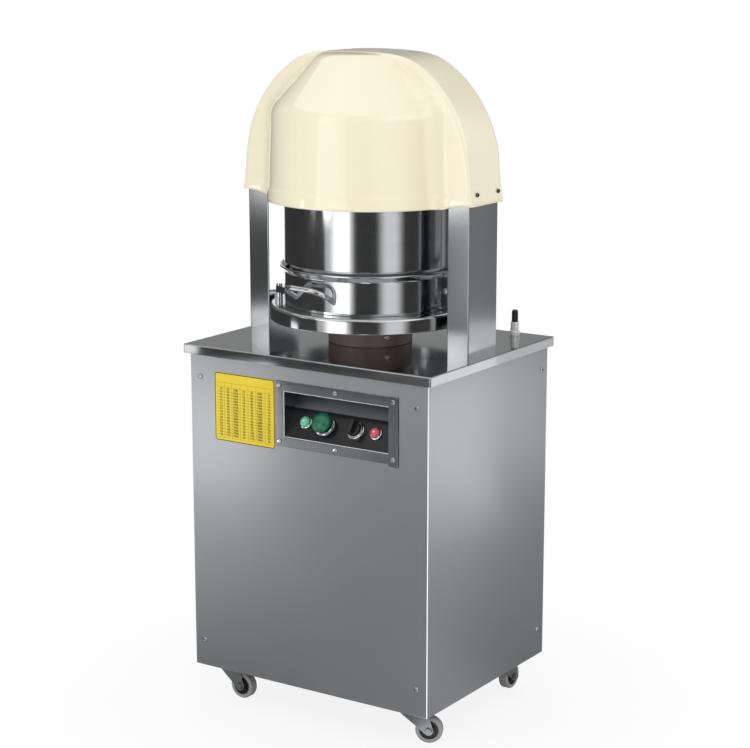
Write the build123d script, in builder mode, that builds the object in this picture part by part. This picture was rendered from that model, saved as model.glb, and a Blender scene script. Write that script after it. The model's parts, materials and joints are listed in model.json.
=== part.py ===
from build123d import *
import os
from math import atan2, cos, degrees, radians, sin, sqrt, tan

os.makedirs("parts", exist_ok=True)

# A floor-standing electric dough divider. Millimetres, +Z up, -Y is the front with the controls.
# The origin is on the floor below the middle of the table, which is also the axis of the drum.

# Cabinet and table
cabinet_width = 550.0
cabinet_depth = 444.0
cabinet_height = 640.0
caster_height = 76.0
sheet = 1.5
angle_leg = 30.0
angle_wall = 3.0
cross_bar_wall = 8.0
cross_bar_spacing = 120.0
table_overhang = 9.5
table_edge = 18.5
table_sheet = 2.5
table_corner = 3.0
panel_screw_inset = 24.0
panel_screw_low = 54.0
panel_screw_high = 45.0
screw_hole = 5.2
screw_shank = 5.0
screw_head = 9.0
screw_head_height = 2.6
screw_length = 10.0
vent_width = 90.0
vent_height = 6.0
vent_pitch = 18.0
vent_count = 6
vent_drop = 156.0
grommet_bore = 10.0
grommet_neck = 16.0
grommet_flange = 24.0
grommet_lip = 3.0
grommet_inset = 95.0
grommet_rise = 84.0

# Controls and chart on the front panel
control_x = 69.5
control_drop = 94.0
control_open_width = 240.0
control_open_height = 90.0
control_flange = 19.0
control_sheet = 1.5
control_slope = 35.0
control_back_room = 5.0
control_plate_sheet = 2.0
control_plate_gap = 0.1
control_clearance = 0.5
control_row_rise = 33.7
run_lamp_place = -80.0
start_button_place = -36.7
selector_place = 34.1
power_lamp_place = 79.3
bezel_neck = 22.0
neck_clearance = 0.2
neck_length = 26.0
lamp_bezel = 25.0
lamp_bezel_height = 5.0
lamp_lens = 20.0
lamp_lens_height = 7.0
lamp_dome = 3.5
start_bezel = 42.0
start_bezel_height = 5.0
start_stem = 12.0
start_cap = 40.0
start_cap_height = 15.0
start_cap_dome = 10.0
start_gap = 7.0
stem_clearance = 0.1
selector_bezel = 37.0
selector_bezel_height = 8.0
selector_knob_size = 30.0
selector_knob_height = 8.0
selector_grip_width = 10.0
selector_grip_height = 10.0
selector_spindle = 8.0
knob_clearance = 0.3
chart_width = 144.0
chart_height = 136.0
chart_gap = 1.5
chart_drop = 98.5
chart_corner = 6.0
chart_sheet = 1.0

# Columns, rods and the drive inside the cabinet
column_x = 232.0
column_width = 48.0
column_depth = 104.0
column_height = 321.5
column_wall = 3.0
column_base = 6.0
rod_diameter = 25.0
rod_clearance = 0.05
rod_hole_play = 2.5
rod_stub = 20.0
rod_nut_size = 30.0
rod_nut_height = 10.0
fit_clearance = 0.05
guide_height = 25.0
guide_drop = 10.0
yoke_width = 60.0
yoke_height = 30.0
yoke_below_table = 164.5
beam_width = 50.0
beam_end = 26.0
beam_middle = 50.0
beam_flat = 90.0
beam_end_over = 13.0
beam_chamfer_height = 22.0
beam_nut_seat = 8.0
beam_slot_play = 2.0
screw_diameter = 30.0
screw_journal = 25.0
screw_play = 0.1
journal_clearance = 0.05
lead_nut_body = 46.0
lead_nut_flange = 76.0
lead_nut_flange_height = 12.0
lead_nut_length = 60.0
deck_level = 232.0
deck_sheet = 6.0
deck_front = 150.0
deck_rear = 200.0
deck_gap = 0.5
deck_hole = 40.0
bearing_plate = 110.0
bearing_plate_height = 12.0
bearing_boss = 70.0
bearing_boss_height = 14.0
motor_x = -130.0
motor_y = 110.0
motor_flange = 170.0
motor_flange_height = 12.0
motor_body_diameter = 136.0
motor_fin_depth = 9.0
motor_fin_width = 3.0
motor_fin_count = 24
motor_length = 150.0
fan_cover_diameter = 150.0
fan_cover_height = 40.0
motor_shaft_diameter = 24.0
motor_shaft_bore_depth = 70.0
motor_box_width = 70.0
motor_box_depth = 40.0
motor_box_height = 80.0
pulley_gap = 8.0
pulley_height = 24.0
screw_pulley_diameter = 140.0
motor_pulley_diameter = 70.0
groove_depth = 11.0
belt_height = 10.0
belt_thickness = 8.0
belt_clearance = 0.4
electrical_box_inset = 50.0
electrical_box_rear_inset = 40.0
electrical_box_width = 140.0
electrical_box_depth = 80.0
electrical_box_height = 170.0
electrical_box_corner = 6.0
switch_x = 120.0
switch_width = 30.0
switch_height = 50.0
switch_gap = 3.0

# Hub, pan and ring
hub_diameter = 165.0
hub_height = 47.5
hub_chamfer = 2.0
spigot_diameter = 60.0
spigot_length = 25.0
spigot_clearance = 0.05
disc_radius = 196.7
disc_height = 29.5
disc_edge = 6.0
disc_rim = 8.0
disc_skin = 10.0
disc_boss = 190.0
board_thickness = 8.5
board_gap = 2.0
ring_radius = 168.0
ring_wall = 3.0
ring_height = 77.5
ring_lip = 9.0
ring_lip_edge = 3.0
ring_swing_gap = 0.5
seam_gap = 0.6
flange_reach = 16.0
flange_wall = 4.0
flange_drop = 12.0
clasp_bolt = 6.0
clasp_hole = 10.0
clasp_head = 11.0
clasp_head_height = 5.0
clasp_tail = 8.0
clasp_height = 38.0
hinge_azimuth = -66.0
hinge_reach = 14.0
hinge_eye = 14.0
hinge_pin = 8.0
hinge_pin_clearance = 0.1
hinge_knuckle = 13.0
hinge_gap = 0.4
hinge_cap = 12.0
hinge_cap_height = 4.0
hinge_leaf_angle = 7.0
hinge_leaf_end = 5.0
hinge_foot_reach = 10.0
hinge_foot = 8.0
handle_azimuth = -7.5
handle_span = 100.0
handle_rod = 10.0
handle_reach = 40.0
handle_rise = 27.0
handle_bend = 30.0
handle_height = 23.0

# Head with its drum, knives and press pads
drum_gap = 5.6
drum_radius = 168.0
drum_wall = 3.0
drum_height = 119.4
head_plate_height = 12.0
knife_gap = 1.0
knife_radius = 158.0
knife_wall = 2.0
knife_height = 75.0
inner_cells = 6
middle_cells = 12
outer_cells = 18
post_count = 6
post_diameter = 12.0
post_clearance = 1.0
pad_slot_clearance = 0.5
pad_thickness = 20.0
pad_lift = 1.0
pad_stem = 10.0
pad_stem_length = 93.0
carrier_radius = 150.0
carrier_thickness = 8.0
spring_circle = 70.0
spring_count = 6
spring_outer = 28.0
spring_pin = 12.0
spring_pin_clearance = 0.5
spring_pin_head = 20.0
spring_pin_head_height = 5.0
carrier_rest_gap = 0.3

# Cover over the head
cover_wall = 4.0
cover_fit = 1.0
cover_side_gap = 3.5
cover_overlap = 34.0
cover_bulge_gap = 27.0
cover_bulge_drop = 8.0
cover_draft = 5.65
cover_arc = 237.0
cover_arc_rise = 52.0
cover_crown_half = 104.0
cover_crown_rise = 4.0
cover_edge = 9.0
bulge_draft = 8.0
bulge_height = 178.0
bulge_top_radius = 102.0
bulge_crown_rise = 6.0
bulge_shoulder = 14.0
cover_screw_spacing = 76.0
cover_screw_drop = 13.0
cover_screw_hole = 6.2
cover_screw_shank = 6.0
cover_screw_head = 11.0
cover_screw_head_height = 3.5

# Setting knob at the right rear of the table
knob_inset_x = 63.0
knob_inset_y = 22.0
collar_diameter = 21.0
collar_height = 27.0
collar_step = 2.0
collar_step_height = 9.0
knob_spindle = 8.0
knob_cap = 13.0
knob_cap_top = 10.0
knob_cap_height = 24.0
spindle_tail = 12.0
knob_lift = 0.4

# Casters
caster_inset_x = 55.0
caster_inset_y = 60.0
caster_pad = 90.0
caster_plate = 64.0
caster_plate_sheet = 2.5
race_diameter = 44.0
race_height = 7.5
king_pin = 10.0
king_pin_clearance = 0.1
swivel_gap = 0.4
crown_diameter = 46.0
crown_height = 5.5
wheel_diameter = 53.0
wheel_width = 20.0
wheel_hub_width = 23.0
wheel_hub = 24.0
wheel_edge = 3.0
caster_trail = 20.0
fork_wall = 2.5
fork_gap = 0.5
fork_eye = 18.0
fork_top = 52.0
fork_lean = 8.0
axle = 8.0
axle_clearance = 0.1
axle_nut = 14.0
axle_nut_height = 5.0
caster_yaw = {"front_left": 0.0, "front_right": 25.0, "rear_left": 140.0, "rear_right": 90.0}

# Levels and places that follow from the sizes above
base_z = caster_height
cabinet_mid_z = base_z + cabinet_height / 2
table_z = base_z + cabinet_height + table_edge
table_under_z = table_z - table_sheet
front_y = -cabinet_depth / 2
frame_x = cabinet_width / 2 - sheet
frame_y = cabinet_depth / 2 - sheet
vent_level = base_z + cabinet_height - vent_drop
grommet_x = grommet_inset - cabinet_width / 2
grommet_z = base_z + grommet_rise
control_z = base_z + cabinet_height - control_drop
console_turn = radians(control_slope)
control_depth = control_open_height * tan(console_turn) + control_back_room
plate_lift = control_plate_sheet * sin(console_turn) + control_plate_gap
plate_length = (control_open_height - plate_lift - control_plate_gap) / cos(console_turn)
console_foot = Vector(control_x, front_y, control_z - control_open_height / 2 + plate_lift)
console_up = Vector(0, sin(console_turn), cos(console_turn))
console_out = Vector(0, -cos(console_turn), sin(console_turn))
chart_x = control_x - control_open_width / 2 - control_flange - chart_gap - chart_width / 2
chart_z = base_z + cabinet_height - chart_drop
knob_x = cabinet_width / 2 - knob_inset_x
knob_y = cabinet_depth / 2 - knob_inset_y
deck_half = frame_x - angle_wall - deck_gap
electrical_box_x = deck_half - electrical_box_inset - electrical_box_width / 2
electrical_box_y = deck_rear - electrical_box_rear_inset - electrical_box_depth / 2
deck_top_z = deck_level + deck_sheet
disc_under_z = table_z + hub_height
disc_z = disc_under_z + disc_height
board_z = disc_z + board_thickness
ring_top_z = disc_z + ring_height
drum_z = ring_top_z + drum_gap
head_plate_z = drum_z + drum_height
beam_z = head_plate_z + head_plate_height
knife_z = board_z + knife_gap
knife_top_z = knife_z + knife_height
pad_z = knife_z + pad_lift
carrier_z = pad_z + pad_thickness + pad_stem_length
column_top_z = table_z + column_height
slot_z = beam_z - beam_slot_play
yoke_z = table_z - yoke_below_table - yoke_height
column_outer_x = column_x + column_width / 2
column_inner_x = column_x - column_width / 2
cross_y = cross_bar_spacing / 2
ring_inner = ring_radius - ring_wall
flange_outer = ring_radius + flange_reach
flange_top_z = ring_top_z - flange_drop
clasp_x = ring_radius + flange_reach / 2
clasp_z = disc_z + clasp_height
hinge_radius = ring_radius + hinge_reach
pulley_z = deck_level - pulley_gap - pulley_height
upper_bearing_z = table_under_z - angle_leg - bearing_plate_height
screw_low = cabinet_mid_z - cabinet_height / 2 + panel_screw_low
screw_high = cabinet_mid_z + cabinet_height / 2 - panel_screw_high
screw_mid_z = (screw_low + screw_high) / 2
front_screw_x = cabinet_width / 2 - panel_screw_inset
side_screw_y = cabinet_depth / 2 - panel_screw_inset


def front_plane(inset=0.0):
    """Plane of the cabinet's front face, facing the user, moved in by inset."""
    return Plane.XZ.offset(-front_y - inset)


def rear_plane(inset=0.0):
    """Plane of the cabinet's rear face, facing away from the user, moved in by inset."""
    return Plane(origin=(0, cabinet_depth / 2 - inset, 0), x_dir=(-1, 0, 0), z_dir=(0, 1, 0))


def console_plane(height=0.0):
    """Face of the sloped control plate, raised by height: local y runs up the slope from its foot."""
    return Plane(origin=console_foot + console_out * height, x_dir=(1, 0, 0), z_dir=console_out)


def side_plane(side, reach):
    """Upright plane facing outwards at a distance from the middle, on the right (1) or the left (-1)."""
    return Plane(origin=(side * reach, 0, 0), x_dir=(0, side, 0), z_dir=(side, 0, 0))


def ring_plane(azimuth):
    """Upright half plane through the drum's axis, azimuth degrees round from the front."""
    turn = radians(azimuth - 90)
    return Plane(origin=(0, 0, 0), x_dir=(cos(turn), sin(turn), 0), z_dir=(sin(turn), -cos(turn), 0))


def ring_point(radius, azimuth, height):
    """Point at a radius and azimuth about the drum's axis."""
    turn = radians(azimuth - 90)
    return Vector(radius * cos(turn), radius * sin(turn), height)


# Welded frame of steel angle: four posts, a bottom and a top ring, caster pads,
# two bars under the table and two rails for the drive deck.
with BuildPart() as cabinet_frame:
    with BuildSketch(Plane.XY.offset(base_z)):
        Rectangle(2 * frame_x, 2 * frame_y)
        Rectangle(2 * (frame_x - angle_wall), 2 * (frame_y - angle_wall), mode=Mode.SUBTRACT)
        Rectangle(2 * (frame_x - angle_leg), 2 * frame_y, mode=Mode.SUBTRACT)
        Rectangle(2 * frame_x, 2 * (frame_y - angle_leg), mode=Mode.SUBTRACT)
    extrude(amount=table_under_z - base_z)
    with BuildSketch(Plane.XY.offset(base_z)):
        Rectangle(2 * frame_x, 2 * frame_y)
        Rectangle(2 * (frame_x - angle_leg), 2 * (frame_y - angle_leg), mode=Mode.SUBTRACT)
        with GridLocations(cabinet_width - 2 * caster_inset_x, cabinet_depth - 2 * caster_inset_y, 2, 2):
            Rectangle(caster_pad, caster_pad)
    extrude(amount=angle_wall)
    for level in (base_z, table_under_z - angle_leg):
        with BuildSketch(Plane.XY.offset(level)):
            Rectangle(2 * frame_x, 2 * frame_y)
            Rectangle(2 * (frame_x - angle_wall), 2 * (frame_y - angle_wall), mode=Mode.SUBTRACT)
        extrude(amount=angle_leg)
    with BuildSketch(Plane.XY.offset(table_under_z - angle_leg)):
        with GridLocations(0, cross_bar_spacing, 1, 2):
            Rectangle(2 * (frame_x - angle_wall), cross_bar_wall)
    extrude(amount=angle_leg)
    with BuildSketch(Plane.XY.offset(deck_level - angle_wall)):
        with GridLocations(2 * (frame_x - angle_wall) - angle_leg, 0, 2, 1):
            Rectangle(angle_leg, 2 * (frame_y - angle_wall))
    extrude(amount=angle_wall)
    with BuildSketch(Plane.XZ):
        with Locations((0, screw_mid_z)):
            with GridLocations(2 * front_screw_x, screw_high - screw_low, 2, 2):
                Circle(screw_hole / 2)
    extrude(amount=cabinet_depth, both=True, mode=Mode.SUBTRACT)
    with BuildSketch(Plane.YZ):
        with Locations((side_screw_y, screw_mid_z)):
            with GridLocations(0, screw_high - screw_low, 1, 2):
                Circle(screw_hole / 2)
    extrude(amount=cabinet_width, both=True, mode=Mode.SUBTRACT)
cabinet_frame.part.label = "cabinet_frame"
export_step(cabinet_frame.part, "parts/cabinet_frame.step")

# Brushed stainless front panel with the opening for the recessed control box.
with BuildPart() as front_panel:
    with BuildSketch(front_plane(sheet)):
        with Locations((0, cabinet_mid_z)):
            Rectangle(cabinet_width, cabinet_height)
        with Locations((control_x, control_z)):
            Rectangle(
                control_open_width + 2 * (control_sheet + control_clearance),
                control_open_height + 2 * (control_sheet + control_clearance),
                mode=Mode.SUBTRACT,
            )
        with Locations((0, screw_mid_z)):
            with GridLocations(2 * front_screw_x, screw_high - screw_low, 2, 2):
                Circle(screw_hole / 2, mode=Mode.SUBTRACT)
    extrude(amount=sheet)
front_panel.part.label = "front_panel"
export_step(front_panel.part, "parts/front_panel.step")

# Side panels slip in behind the front panel and are screwed to the rear posts.
with BuildPart() as side_panels:
    with BuildSketch(side_plane(1, frame_x)):
        with Locations((0, cabinet_mid_z)):
            Rectangle(cabinet_depth - 2 * sheet, cabinet_height)
        with Locations((side_screw_y, screw_mid_z)):
            with GridLocations(0, screw_high - screw_low, 1, 2):
                Circle(screw_hole / 2, mode=Mode.SUBTRACT)
    extrude(amount=sheet)
    mirror(about=Plane.YZ)
side_panels.part.label = "side_panels"
export_step(side_panels.part, "parts/side_panels.step")

# Rear panel with vent slots and the hole of the cable grommet.
with BuildPart() as rear_panel:
    with BuildSketch(rear_plane(sheet)):
        with Locations((0, cabinet_mid_z)):
            Rectangle(cabinet_width, cabinet_height)
        with Locations((0, vent_level)):
            with GridLocations(2 * vent_width, vent_pitch, 2, vent_count):
                SlotOverall(vent_width, vent_height, mode=Mode.SUBTRACT)
        with Locations((-grommet_x, grommet_z)):
            Circle(grommet_neck / 2, mode=Mode.SUBTRACT)
        with Locations((0, screw_mid_z)):
            with GridLocations(2 * front_screw_x, screw_high - screw_low, 2, 2):
                Circle(screw_hole / 2, mode=Mode.SUBTRACT)
    extrude(amount=sheet)
rear_panel.part.label = "rear_panel"
export_step(rear_panel.part, "parts/rear_panel.step")

# Rubber grommet where the supply lead enters.
with BuildPart() as cable_grommet:
    with BuildSketch(rear_plane(sheet + grommet_lip)):
        with Locations((-grommet_x, grommet_z)):
            Circle(grommet_flange / 2)
    extrude(amount=grommet_lip)
    with BuildSketch(rear_plane(sheet)):
        with Locations((-grommet_x, grommet_z)):
            Circle(grommet_neck / 2)
    extrude(amount=sheet)
    with BuildSketch(rear_plane()):
        with Locations((-grommet_x, grommet_z)):
            Circle(grommet_flange / 2)
    extrude(amount=grommet_lip)
    with BuildSketch(rear_plane()):
        with Locations((-grommet_x, grommet_z)):
            Circle(grommet_bore / 2)
    extrude(amount=cabinet_depth / 4, both=True, mode=Mode.SUBTRACT)
cable_grommet.part.label = "cable_grommet"
export_step(cable_grommet.part, "parts/cable_grommet.step")

# Button-head screws of the four panels, each through its panel into a post.
with BuildPart() as panel_screws:
    for plane in (front_plane(), rear_plane()):
        with BuildSketch(plane):
            with Locations((0, screw_mid_z)):
                with GridLocations(2 * front_screw_x, screw_high - screw_low, 2, 2):
                    Circle(screw_head / 2)
        extrude(amount=screw_head_height)
        with BuildSketch(plane):
            with Locations((0, screw_mid_z)):
                with GridLocations(2 * front_screw_x, screw_high - screw_low, 2, 2):
                    Circle(screw_shank / 2)
        extrude(amount=-screw_length)
    for side in (-1, 1):
        with BuildSketch(side_plane(side, cabinet_width / 2)):
            with Locations((side * side_screw_y, screw_mid_z)):
                with GridLocations(0, screw_high - screw_low, 1, 2):
                    Circle(screw_head / 2)
        extrude(amount=screw_head_height)
        with BuildSketch(side_plane(side, cabinet_width / 2)):
            with Locations((side * side_screw_y, screw_mid_z)):
                with GridLocations(0, screw_high - screw_low, 1, 2):
                    Circle(screw_shank / 2)
        extrude(amount=-screw_length)
panel_screws.part.label = "panel_screws"
export_step(panel_screws.part, "parts/panel_screws.step")

# Polished table: a sheet with its edges folded down, holed for the rods and the knob.
with BuildPart() as table_top:
    with BuildSketch(Plane.XY.offset(table_z - table_edge)):
        RectangleRounded(cabinet_width + 2 * table_overhang, cabinet_depth + 2 * table_overhang, table_corner)
    extrude(amount=table_edge)
    with BuildSketch(Plane.XY.offset(table_z - table_edge)):
        Rectangle(
            cabinet_width + 2 * (table_overhang - table_sheet),
            cabinet_depth + 2 * (table_overhang - table_sheet),
        )
    extrude(amount=table_edge - table_sheet, mode=Mode.SUBTRACT)
    with BuildSketch(Plane.XY.offset(table_under_z)):
        with GridLocations(2 * column_x, 0, 2, 1):
            Circle(rod_diameter / 2 + rod_hole_play)
        with Locations((knob_x, knob_y)):
            Circle(knob_spindle / 2 + stem_clearance)
    extrude(amount=table_sheet, mode=Mode.SUBTRACT)
table_top.part.label = "table_top"
export_step(table_top.part, "parts/table_top.step")

# Yellow weight chart, a thin plate with round corners left of the controls.
with BuildPart() as weight_chart:
    with BuildSketch(front_plane()):
        with Locations((chart_x, chart_z)):
            RectangleRounded(chart_width, chart_height, chart_corner)
    extrude(amount=chart_sheet)
weight_chart.part.label = "weight_chart"
export_step(weight_chart.part, "parts/weight_chart.step")

# Recessed control box: a flange on the front panel and four walls going in.
with BuildPart() as control_box:
    with BuildSketch(front_plane()):
        with Locations((control_x, control_z)):
            Rectangle(control_open_width + 2 * control_flange, control_open_height + 2 * control_flange)
            Rectangle(control_open_width, control_open_height, mode=Mode.SUBTRACT)
    extrude(amount=control_sheet)
    with BuildSketch(front_plane()):
        with Locations((control_x, control_z)):
            Rectangle(control_open_width + 2 * control_sheet, control_open_height + 2 * control_sheet)
            Rectangle(control_open_width, control_open_height, mode=Mode.SUBTRACT)
    extrude(amount=-control_depth)
    with BuildSketch(front_plane()):
        with Locations((control_x, control_z)):
            with GridLocations(
                (control_open_width + control_flange) / 2, control_open_height + control_flange, 3, 2
            ):
                Circle(screw_hole / 2)
    extrude(amount=control_sheet, mode=Mode.SUBTRACT)
control_box.part.label = "control_box"
export_step(control_box.part, "parts/control_box.step")

# Screws of the control box flange.
with BuildPart() as control_screws:
    with BuildSketch(front_plane(-control_sheet)):
        with Locations((control_x, control_z)):
            with GridLocations(
                (control_open_width + control_flange) / 2, control_open_height + control_flange, 3, 2
            ):
                Circle(screw_head / 2)
    extrude(amount=screw_head_height)
    with BuildSketch(front_plane(-control_sheet)):
        with Locations((control_x, control_z)):
            with GridLocations(
                (control_open_width + control_flange) / 2, control_open_height + control_flange, 3, 2
            ):
                Circle(screw_shank / 2)
    extrude(amount=-control_sheet)
control_screws.part.label = "control_screws"
export_step(control_screws.part, "parts/control_screws.step")

control_places = (run_lamp_place, start_button_place, selector_place, power_lamp_place)

# Black plate in the control box, sloping back from the foot of the opening to the roof of the box.
with BuildPart() as control_plate:
    with BuildSketch(console_plane()):
        with Locations((0, plate_length / 2)):
            Rectangle(control_open_width - 2 * control_plate_gap, plate_length)
        with Locations(*[(place, control_row_rise) for place in control_places]):
            Circle(bezel_neck / 2 + neck_clearance, mode=Mode.SUBTRACT)
    extrude(amount=-control_plate_sheet)
control_plate.part.label = "control_plate"
export_step(control_plate.part, "parts/control_plate.step")

# Chromed bezels with their necks through the plate, for two lamps, the button and the selector.
bezels = (
    (run_lamp_place, lamp_bezel, lamp_bezel_height, lamp_lens - 2 * sheet),
    (start_button_place, start_bezel, start_bezel_height, start_stem + 2 * stem_clearance),
    (selector_place, selector_bezel, selector_bezel_height, selector_spindle + 2 * stem_clearance),
    (power_lamp_place, lamp_bezel, lamp_bezel_height, lamp_lens - 2 * sheet),
)
with BuildPart() as control_bezels:
    for place, size, height, bore in bezels:
        with BuildSketch(console_plane()):
            with Locations((place, control_row_rise)):
                Circle(size / 2)
        extrude(amount=height, taper=size / height)
        with BuildSketch(console_plane()):
            with Locations((place, control_row_rise)):
                Circle(bezel_neck / 2)
        extrude(amount=-neck_length)
        with BuildSketch(console_plane(height)):
            with Locations((place, control_row_rise)):
                Circle(bore / 2)
        extrude(amount=-height - neck_length, mode=Mode.SUBTRACT)
control_bezels.part.label = "control_bezels"
export_step(control_bezels.part, "parts/control_bezels.step")


def control_point(place):
    """Point where a control's axis meets the face of the sloped plate."""
    return console_foot + Vector(place, 0, 0) + console_up * control_row_rise


def control_axis_plane(place):
    """Plane through a control's axis: local x to the right, local y out towards the user."""
    return Plane(origin=control_point(place), x_dir=(1, 0, 0), z_dir=-console_up)


def lamp_lens_solid(place):
    """Domed lens standing on its bezel, with a neck in the bezel's bore."""
    axis = Axis(control_point(place), console_out)
    neck = lamp_lens / 2 - sheet - stem_clearance
    lens_front = lamp_bezel_height + lamp_lens_height
    with BuildPart() as lens:
        with BuildSketch(control_axis_plane(place)):
            with BuildLine():
                Polyline(
                    (0, lens_front),
                    (0, 0),
                    (neck, 0),
                    (neck, lamp_bezel_height),
                    (lamp_lens / 2, lamp_bezel_height),
                    (lamp_lens / 2, lens_front - lamp_dome),
                )
                TangentArc((0, lens_front), (lamp_lens / 2, lens_front - lamp_dome), tangent=(1, 0))
            make_face()
        revolve(axis=axis)
    return lens


# Green running lamp and red power lamp.
run_lamp = lamp_lens_solid(run_lamp_place)
run_lamp.part.label = "run_lamp"
export_step(run_lamp.part, "parts/run_lamp.step")

power_lamp = lamp_lens_solid(power_lamp_place)
power_lamp.part.label = "power_lamp"
export_step(power_lamp.part, "parts/power_lamp.step")

# Green mushroom start button, a domed cap on a stem that is pushed into its bezel.
cap_back = start_bezel_height + start_gap
cap_front = cap_back + start_cap_height
with BuildPart() as start_button:
    with BuildSketch(control_axis_plane(start_button_place)):
        with BuildLine():
            Polyline(
                (0, cap_front),
                (0, 0),
                (start_stem / 2, 0),
                (start_stem / 2, cap_back),
                (start_cap / 2, cap_back),
                (start_cap / 2, cap_front - start_cap_dome),
            )
            TangentArc((0, cap_front), (start_cap / 2, cap_front - start_cap_dome), tangent=(1, 0))
        make_face()
    revolve(axis=Axis(control_point(start_button_place), console_out))
start_button.part.label = "start_button"
export_step(start_button.part, "parts/start_button.step")

# Black selector: a round knob with a raised grip bar, turning on a spindle in its bezel.
selector_back = selector_bezel_height + knob_clearance
with BuildPart() as selector_knob:
    with BuildSketch(console_plane()):
        with Locations((selector_place, control_row_rise)):
            Circle(selector_spindle / 2)
    extrude(amount=selector_back)
    with BuildSketch(console_plane(selector_back)):
        with Locations((selector_place, control_row_rise)):
            Circle(selector_knob_size / 2)
    extrude(amount=selector_knob_height)
    with BuildSketch(console_plane(selector_back + selector_knob_height)):
        with Locations((selector_place, control_row_rise)):
            SlotOverall(selector_knob_size - knob_clearance, selector_grip_width, rotation=90)
    extrude(amount=selector_grip_height)
selector_knob.part.label = "selector_knob"
export_step(selector_knob.part, "parts/selector_knob.step")

# Box columns on the table. Each is open at the top, and a slot in its inner wall
# lets the crossbeam come down to the rods inside.
with BuildPart() as columns:
    with BuildSketch(Plane.XY.offset(table_z)):
        with Locations((column_x, 0)):
            Rectangle(column_width, column_depth)
            Rectangle(column_width - 2 * column_wall, column_depth - 2 * column_wall, mode=Mode.SUBTRACT)
    extrude(amount=column_height)
    with BuildSketch(Plane.XY.offset(table_z)):
        with Locations((column_x, 0)):
            Rectangle(column_width, column_depth)
            Circle(rod_diameter / 2 + rod_hole_play, mode=Mode.SUBTRACT)
    extrude(amount=column_base)
    with BuildSketch(Plane.XY.offset(slot_z)):
        with Locations((column_inner_x + column_wall / 2, 0)):
            Rectangle(column_wall, beam_width + 2 * beam_slot_play)
    extrude(amount=column_top_z - slot_z, mode=Mode.SUBTRACT)
    with BuildSketch(side_plane(1, column_outer_x)):
        with Locations((0, column_top_z - cover_screw_drop)):
            with GridLocations(cover_screw_spacing, 0, 2, 1):
                Circle(cover_screw_hole / 2)
    extrude(amount=-column_wall, mode=Mode.SUBTRACT)
    mirror(about=Plane.YZ)
columns.part.label = "columns"
export_step(columns.part, "parts/columns.step")

# Bronze guide blocks, one on each column's base and one near its top.
with BuildPart() as guide_blocks:
    for level in (table_z + column_base, slot_z - guide_drop - guide_height):
        with BuildSketch(Plane.XY.offset(level)):
            with GridLocations(2 * column_x, 0, 2, 1):
                Rectangle(column_width - 2 * column_wall, column_depth - 2 * column_wall)
                Circle(rod_diameter / 2 + rod_clearance, mode=Mode.SUBTRACT)
        extrude(amount=guide_height)
guide_blocks.part.label = "guide_blocks"
export_step(guide_blocks.part, "parts/guide_blocks.step")

# Round iron hub on the table, bored for the spigot of the pan.
with BuildPart() as hub:
    with BuildSketch(Plane.XY.offset(table_z)):
        Circle(hub_diameter / 2)
        Circle(spigot_diameter / 2 + spigot_clearance, mode=Mode.SUBTRACT)
    extrude(amount=hub_height)
    chamfer(hub.edges().filter_by(GeomType.CIRCLE).sort_by(SortBy.RADIUS)[-2:], hub_chamfer)
hub.part.label = "hub"
export_step(hub.part, "parts/hub.step")

# Polished pan disc: a skin with a deep rim, a boss on the hub and a spigot in its bore.
with BuildPart() as support_disc:
    with BuildSketch(Plane.XZ):
        with BuildLine():
            Polyline(
                (disc_radius, disc_z - disc_edge),
                (disc_radius, disc_under_z),
                (disc_radius - disc_rim, disc_under_z),
                (disc_radius - disc_rim, disc_z - disc_skin),
                (disc_boss / 2, disc_z - disc_skin),
                (disc_boss / 2, disc_under_z),
                (spigot_diameter / 2, disc_under_z),
                (spigot_diameter / 2, disc_under_z - spigot_length),
                (0, disc_under_z - spigot_length),
                (0, disc_z),
                (disc_radius - disc_edge, disc_z),
            )
            RadiusArc((disc_radius - disc_edge, disc_z), (disc_radius, disc_z - disc_edge), disc_edge)
        make_face()
    revolve(axis=Axis.Z)
support_disc.part.label = "support_disc"
export_step(support_disc.part, "parts/support_disc.step")

# White cutting board on the disc, inside the ring.
with BuildPart() as cutting_board:
    with BuildSketch(Plane.XY.offset(disc_z)):
        Circle(ring_inner - board_gap)
    extrude(amount=board_thickness)
cutting_board.part.label = "cutting_board"
export_step(cutting_board.part, "parts/cutting_board.step")

seam_turn = degrees(seam_gap / 2 / ring_radius)


def ring_arc(bottom, start, sweep_angle):
    """Stretch of the hoop's wall with its flared lip, from an azimuth onwards."""
    lip_z = ring_top_z - ring_lip_edge - ring_lip
    outline = (
        (ring_inner, bottom),
        (ring_radius, bottom),
        (ring_radius, lip_z),
        (ring_radius + ring_lip, ring_top_z - ring_lip_edge),
        (ring_radius + ring_lip, ring_top_z),
        (ring_radius + ring_lip - ring_lip_edge, ring_top_z),
        (ring_inner, lip_z + ring_wall),
    )
    with BuildPart() as arc:
        with BuildSketch(ring_plane(start)):
            with BuildLine():
                Polyline(*outline, close=True)
            make_face()
        revolve(axis=Axis.Z, revolution_arc=sweep_angle)
    return arc.part


def seam_flange(side, bottom):
    """Upright flange beside the right-hand seam, on the rear side (1) or the front side (-1)."""
    with BuildPart() as flange:
        with BuildSketch(Plane.XY.offset(bottom)):
            with Locations(((ring_inner + flange_outer) / 2, side * (seam_gap + flange_wall) / 2)):
                Rectangle(flange_outer - ring_inner, flange_wall)
        extrude(amount=flange_top_z - bottom)
        with BuildSketch(Plane.XZ):
            with Locations((clasp_x, clasp_z)):
                Circle(clasp_hole / 2 if side > 0 else clasp_bolt / 2)
        extrude(amount=flange_reach, both=True, mode=Mode.SUBTRACT)
    return flange.part


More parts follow.
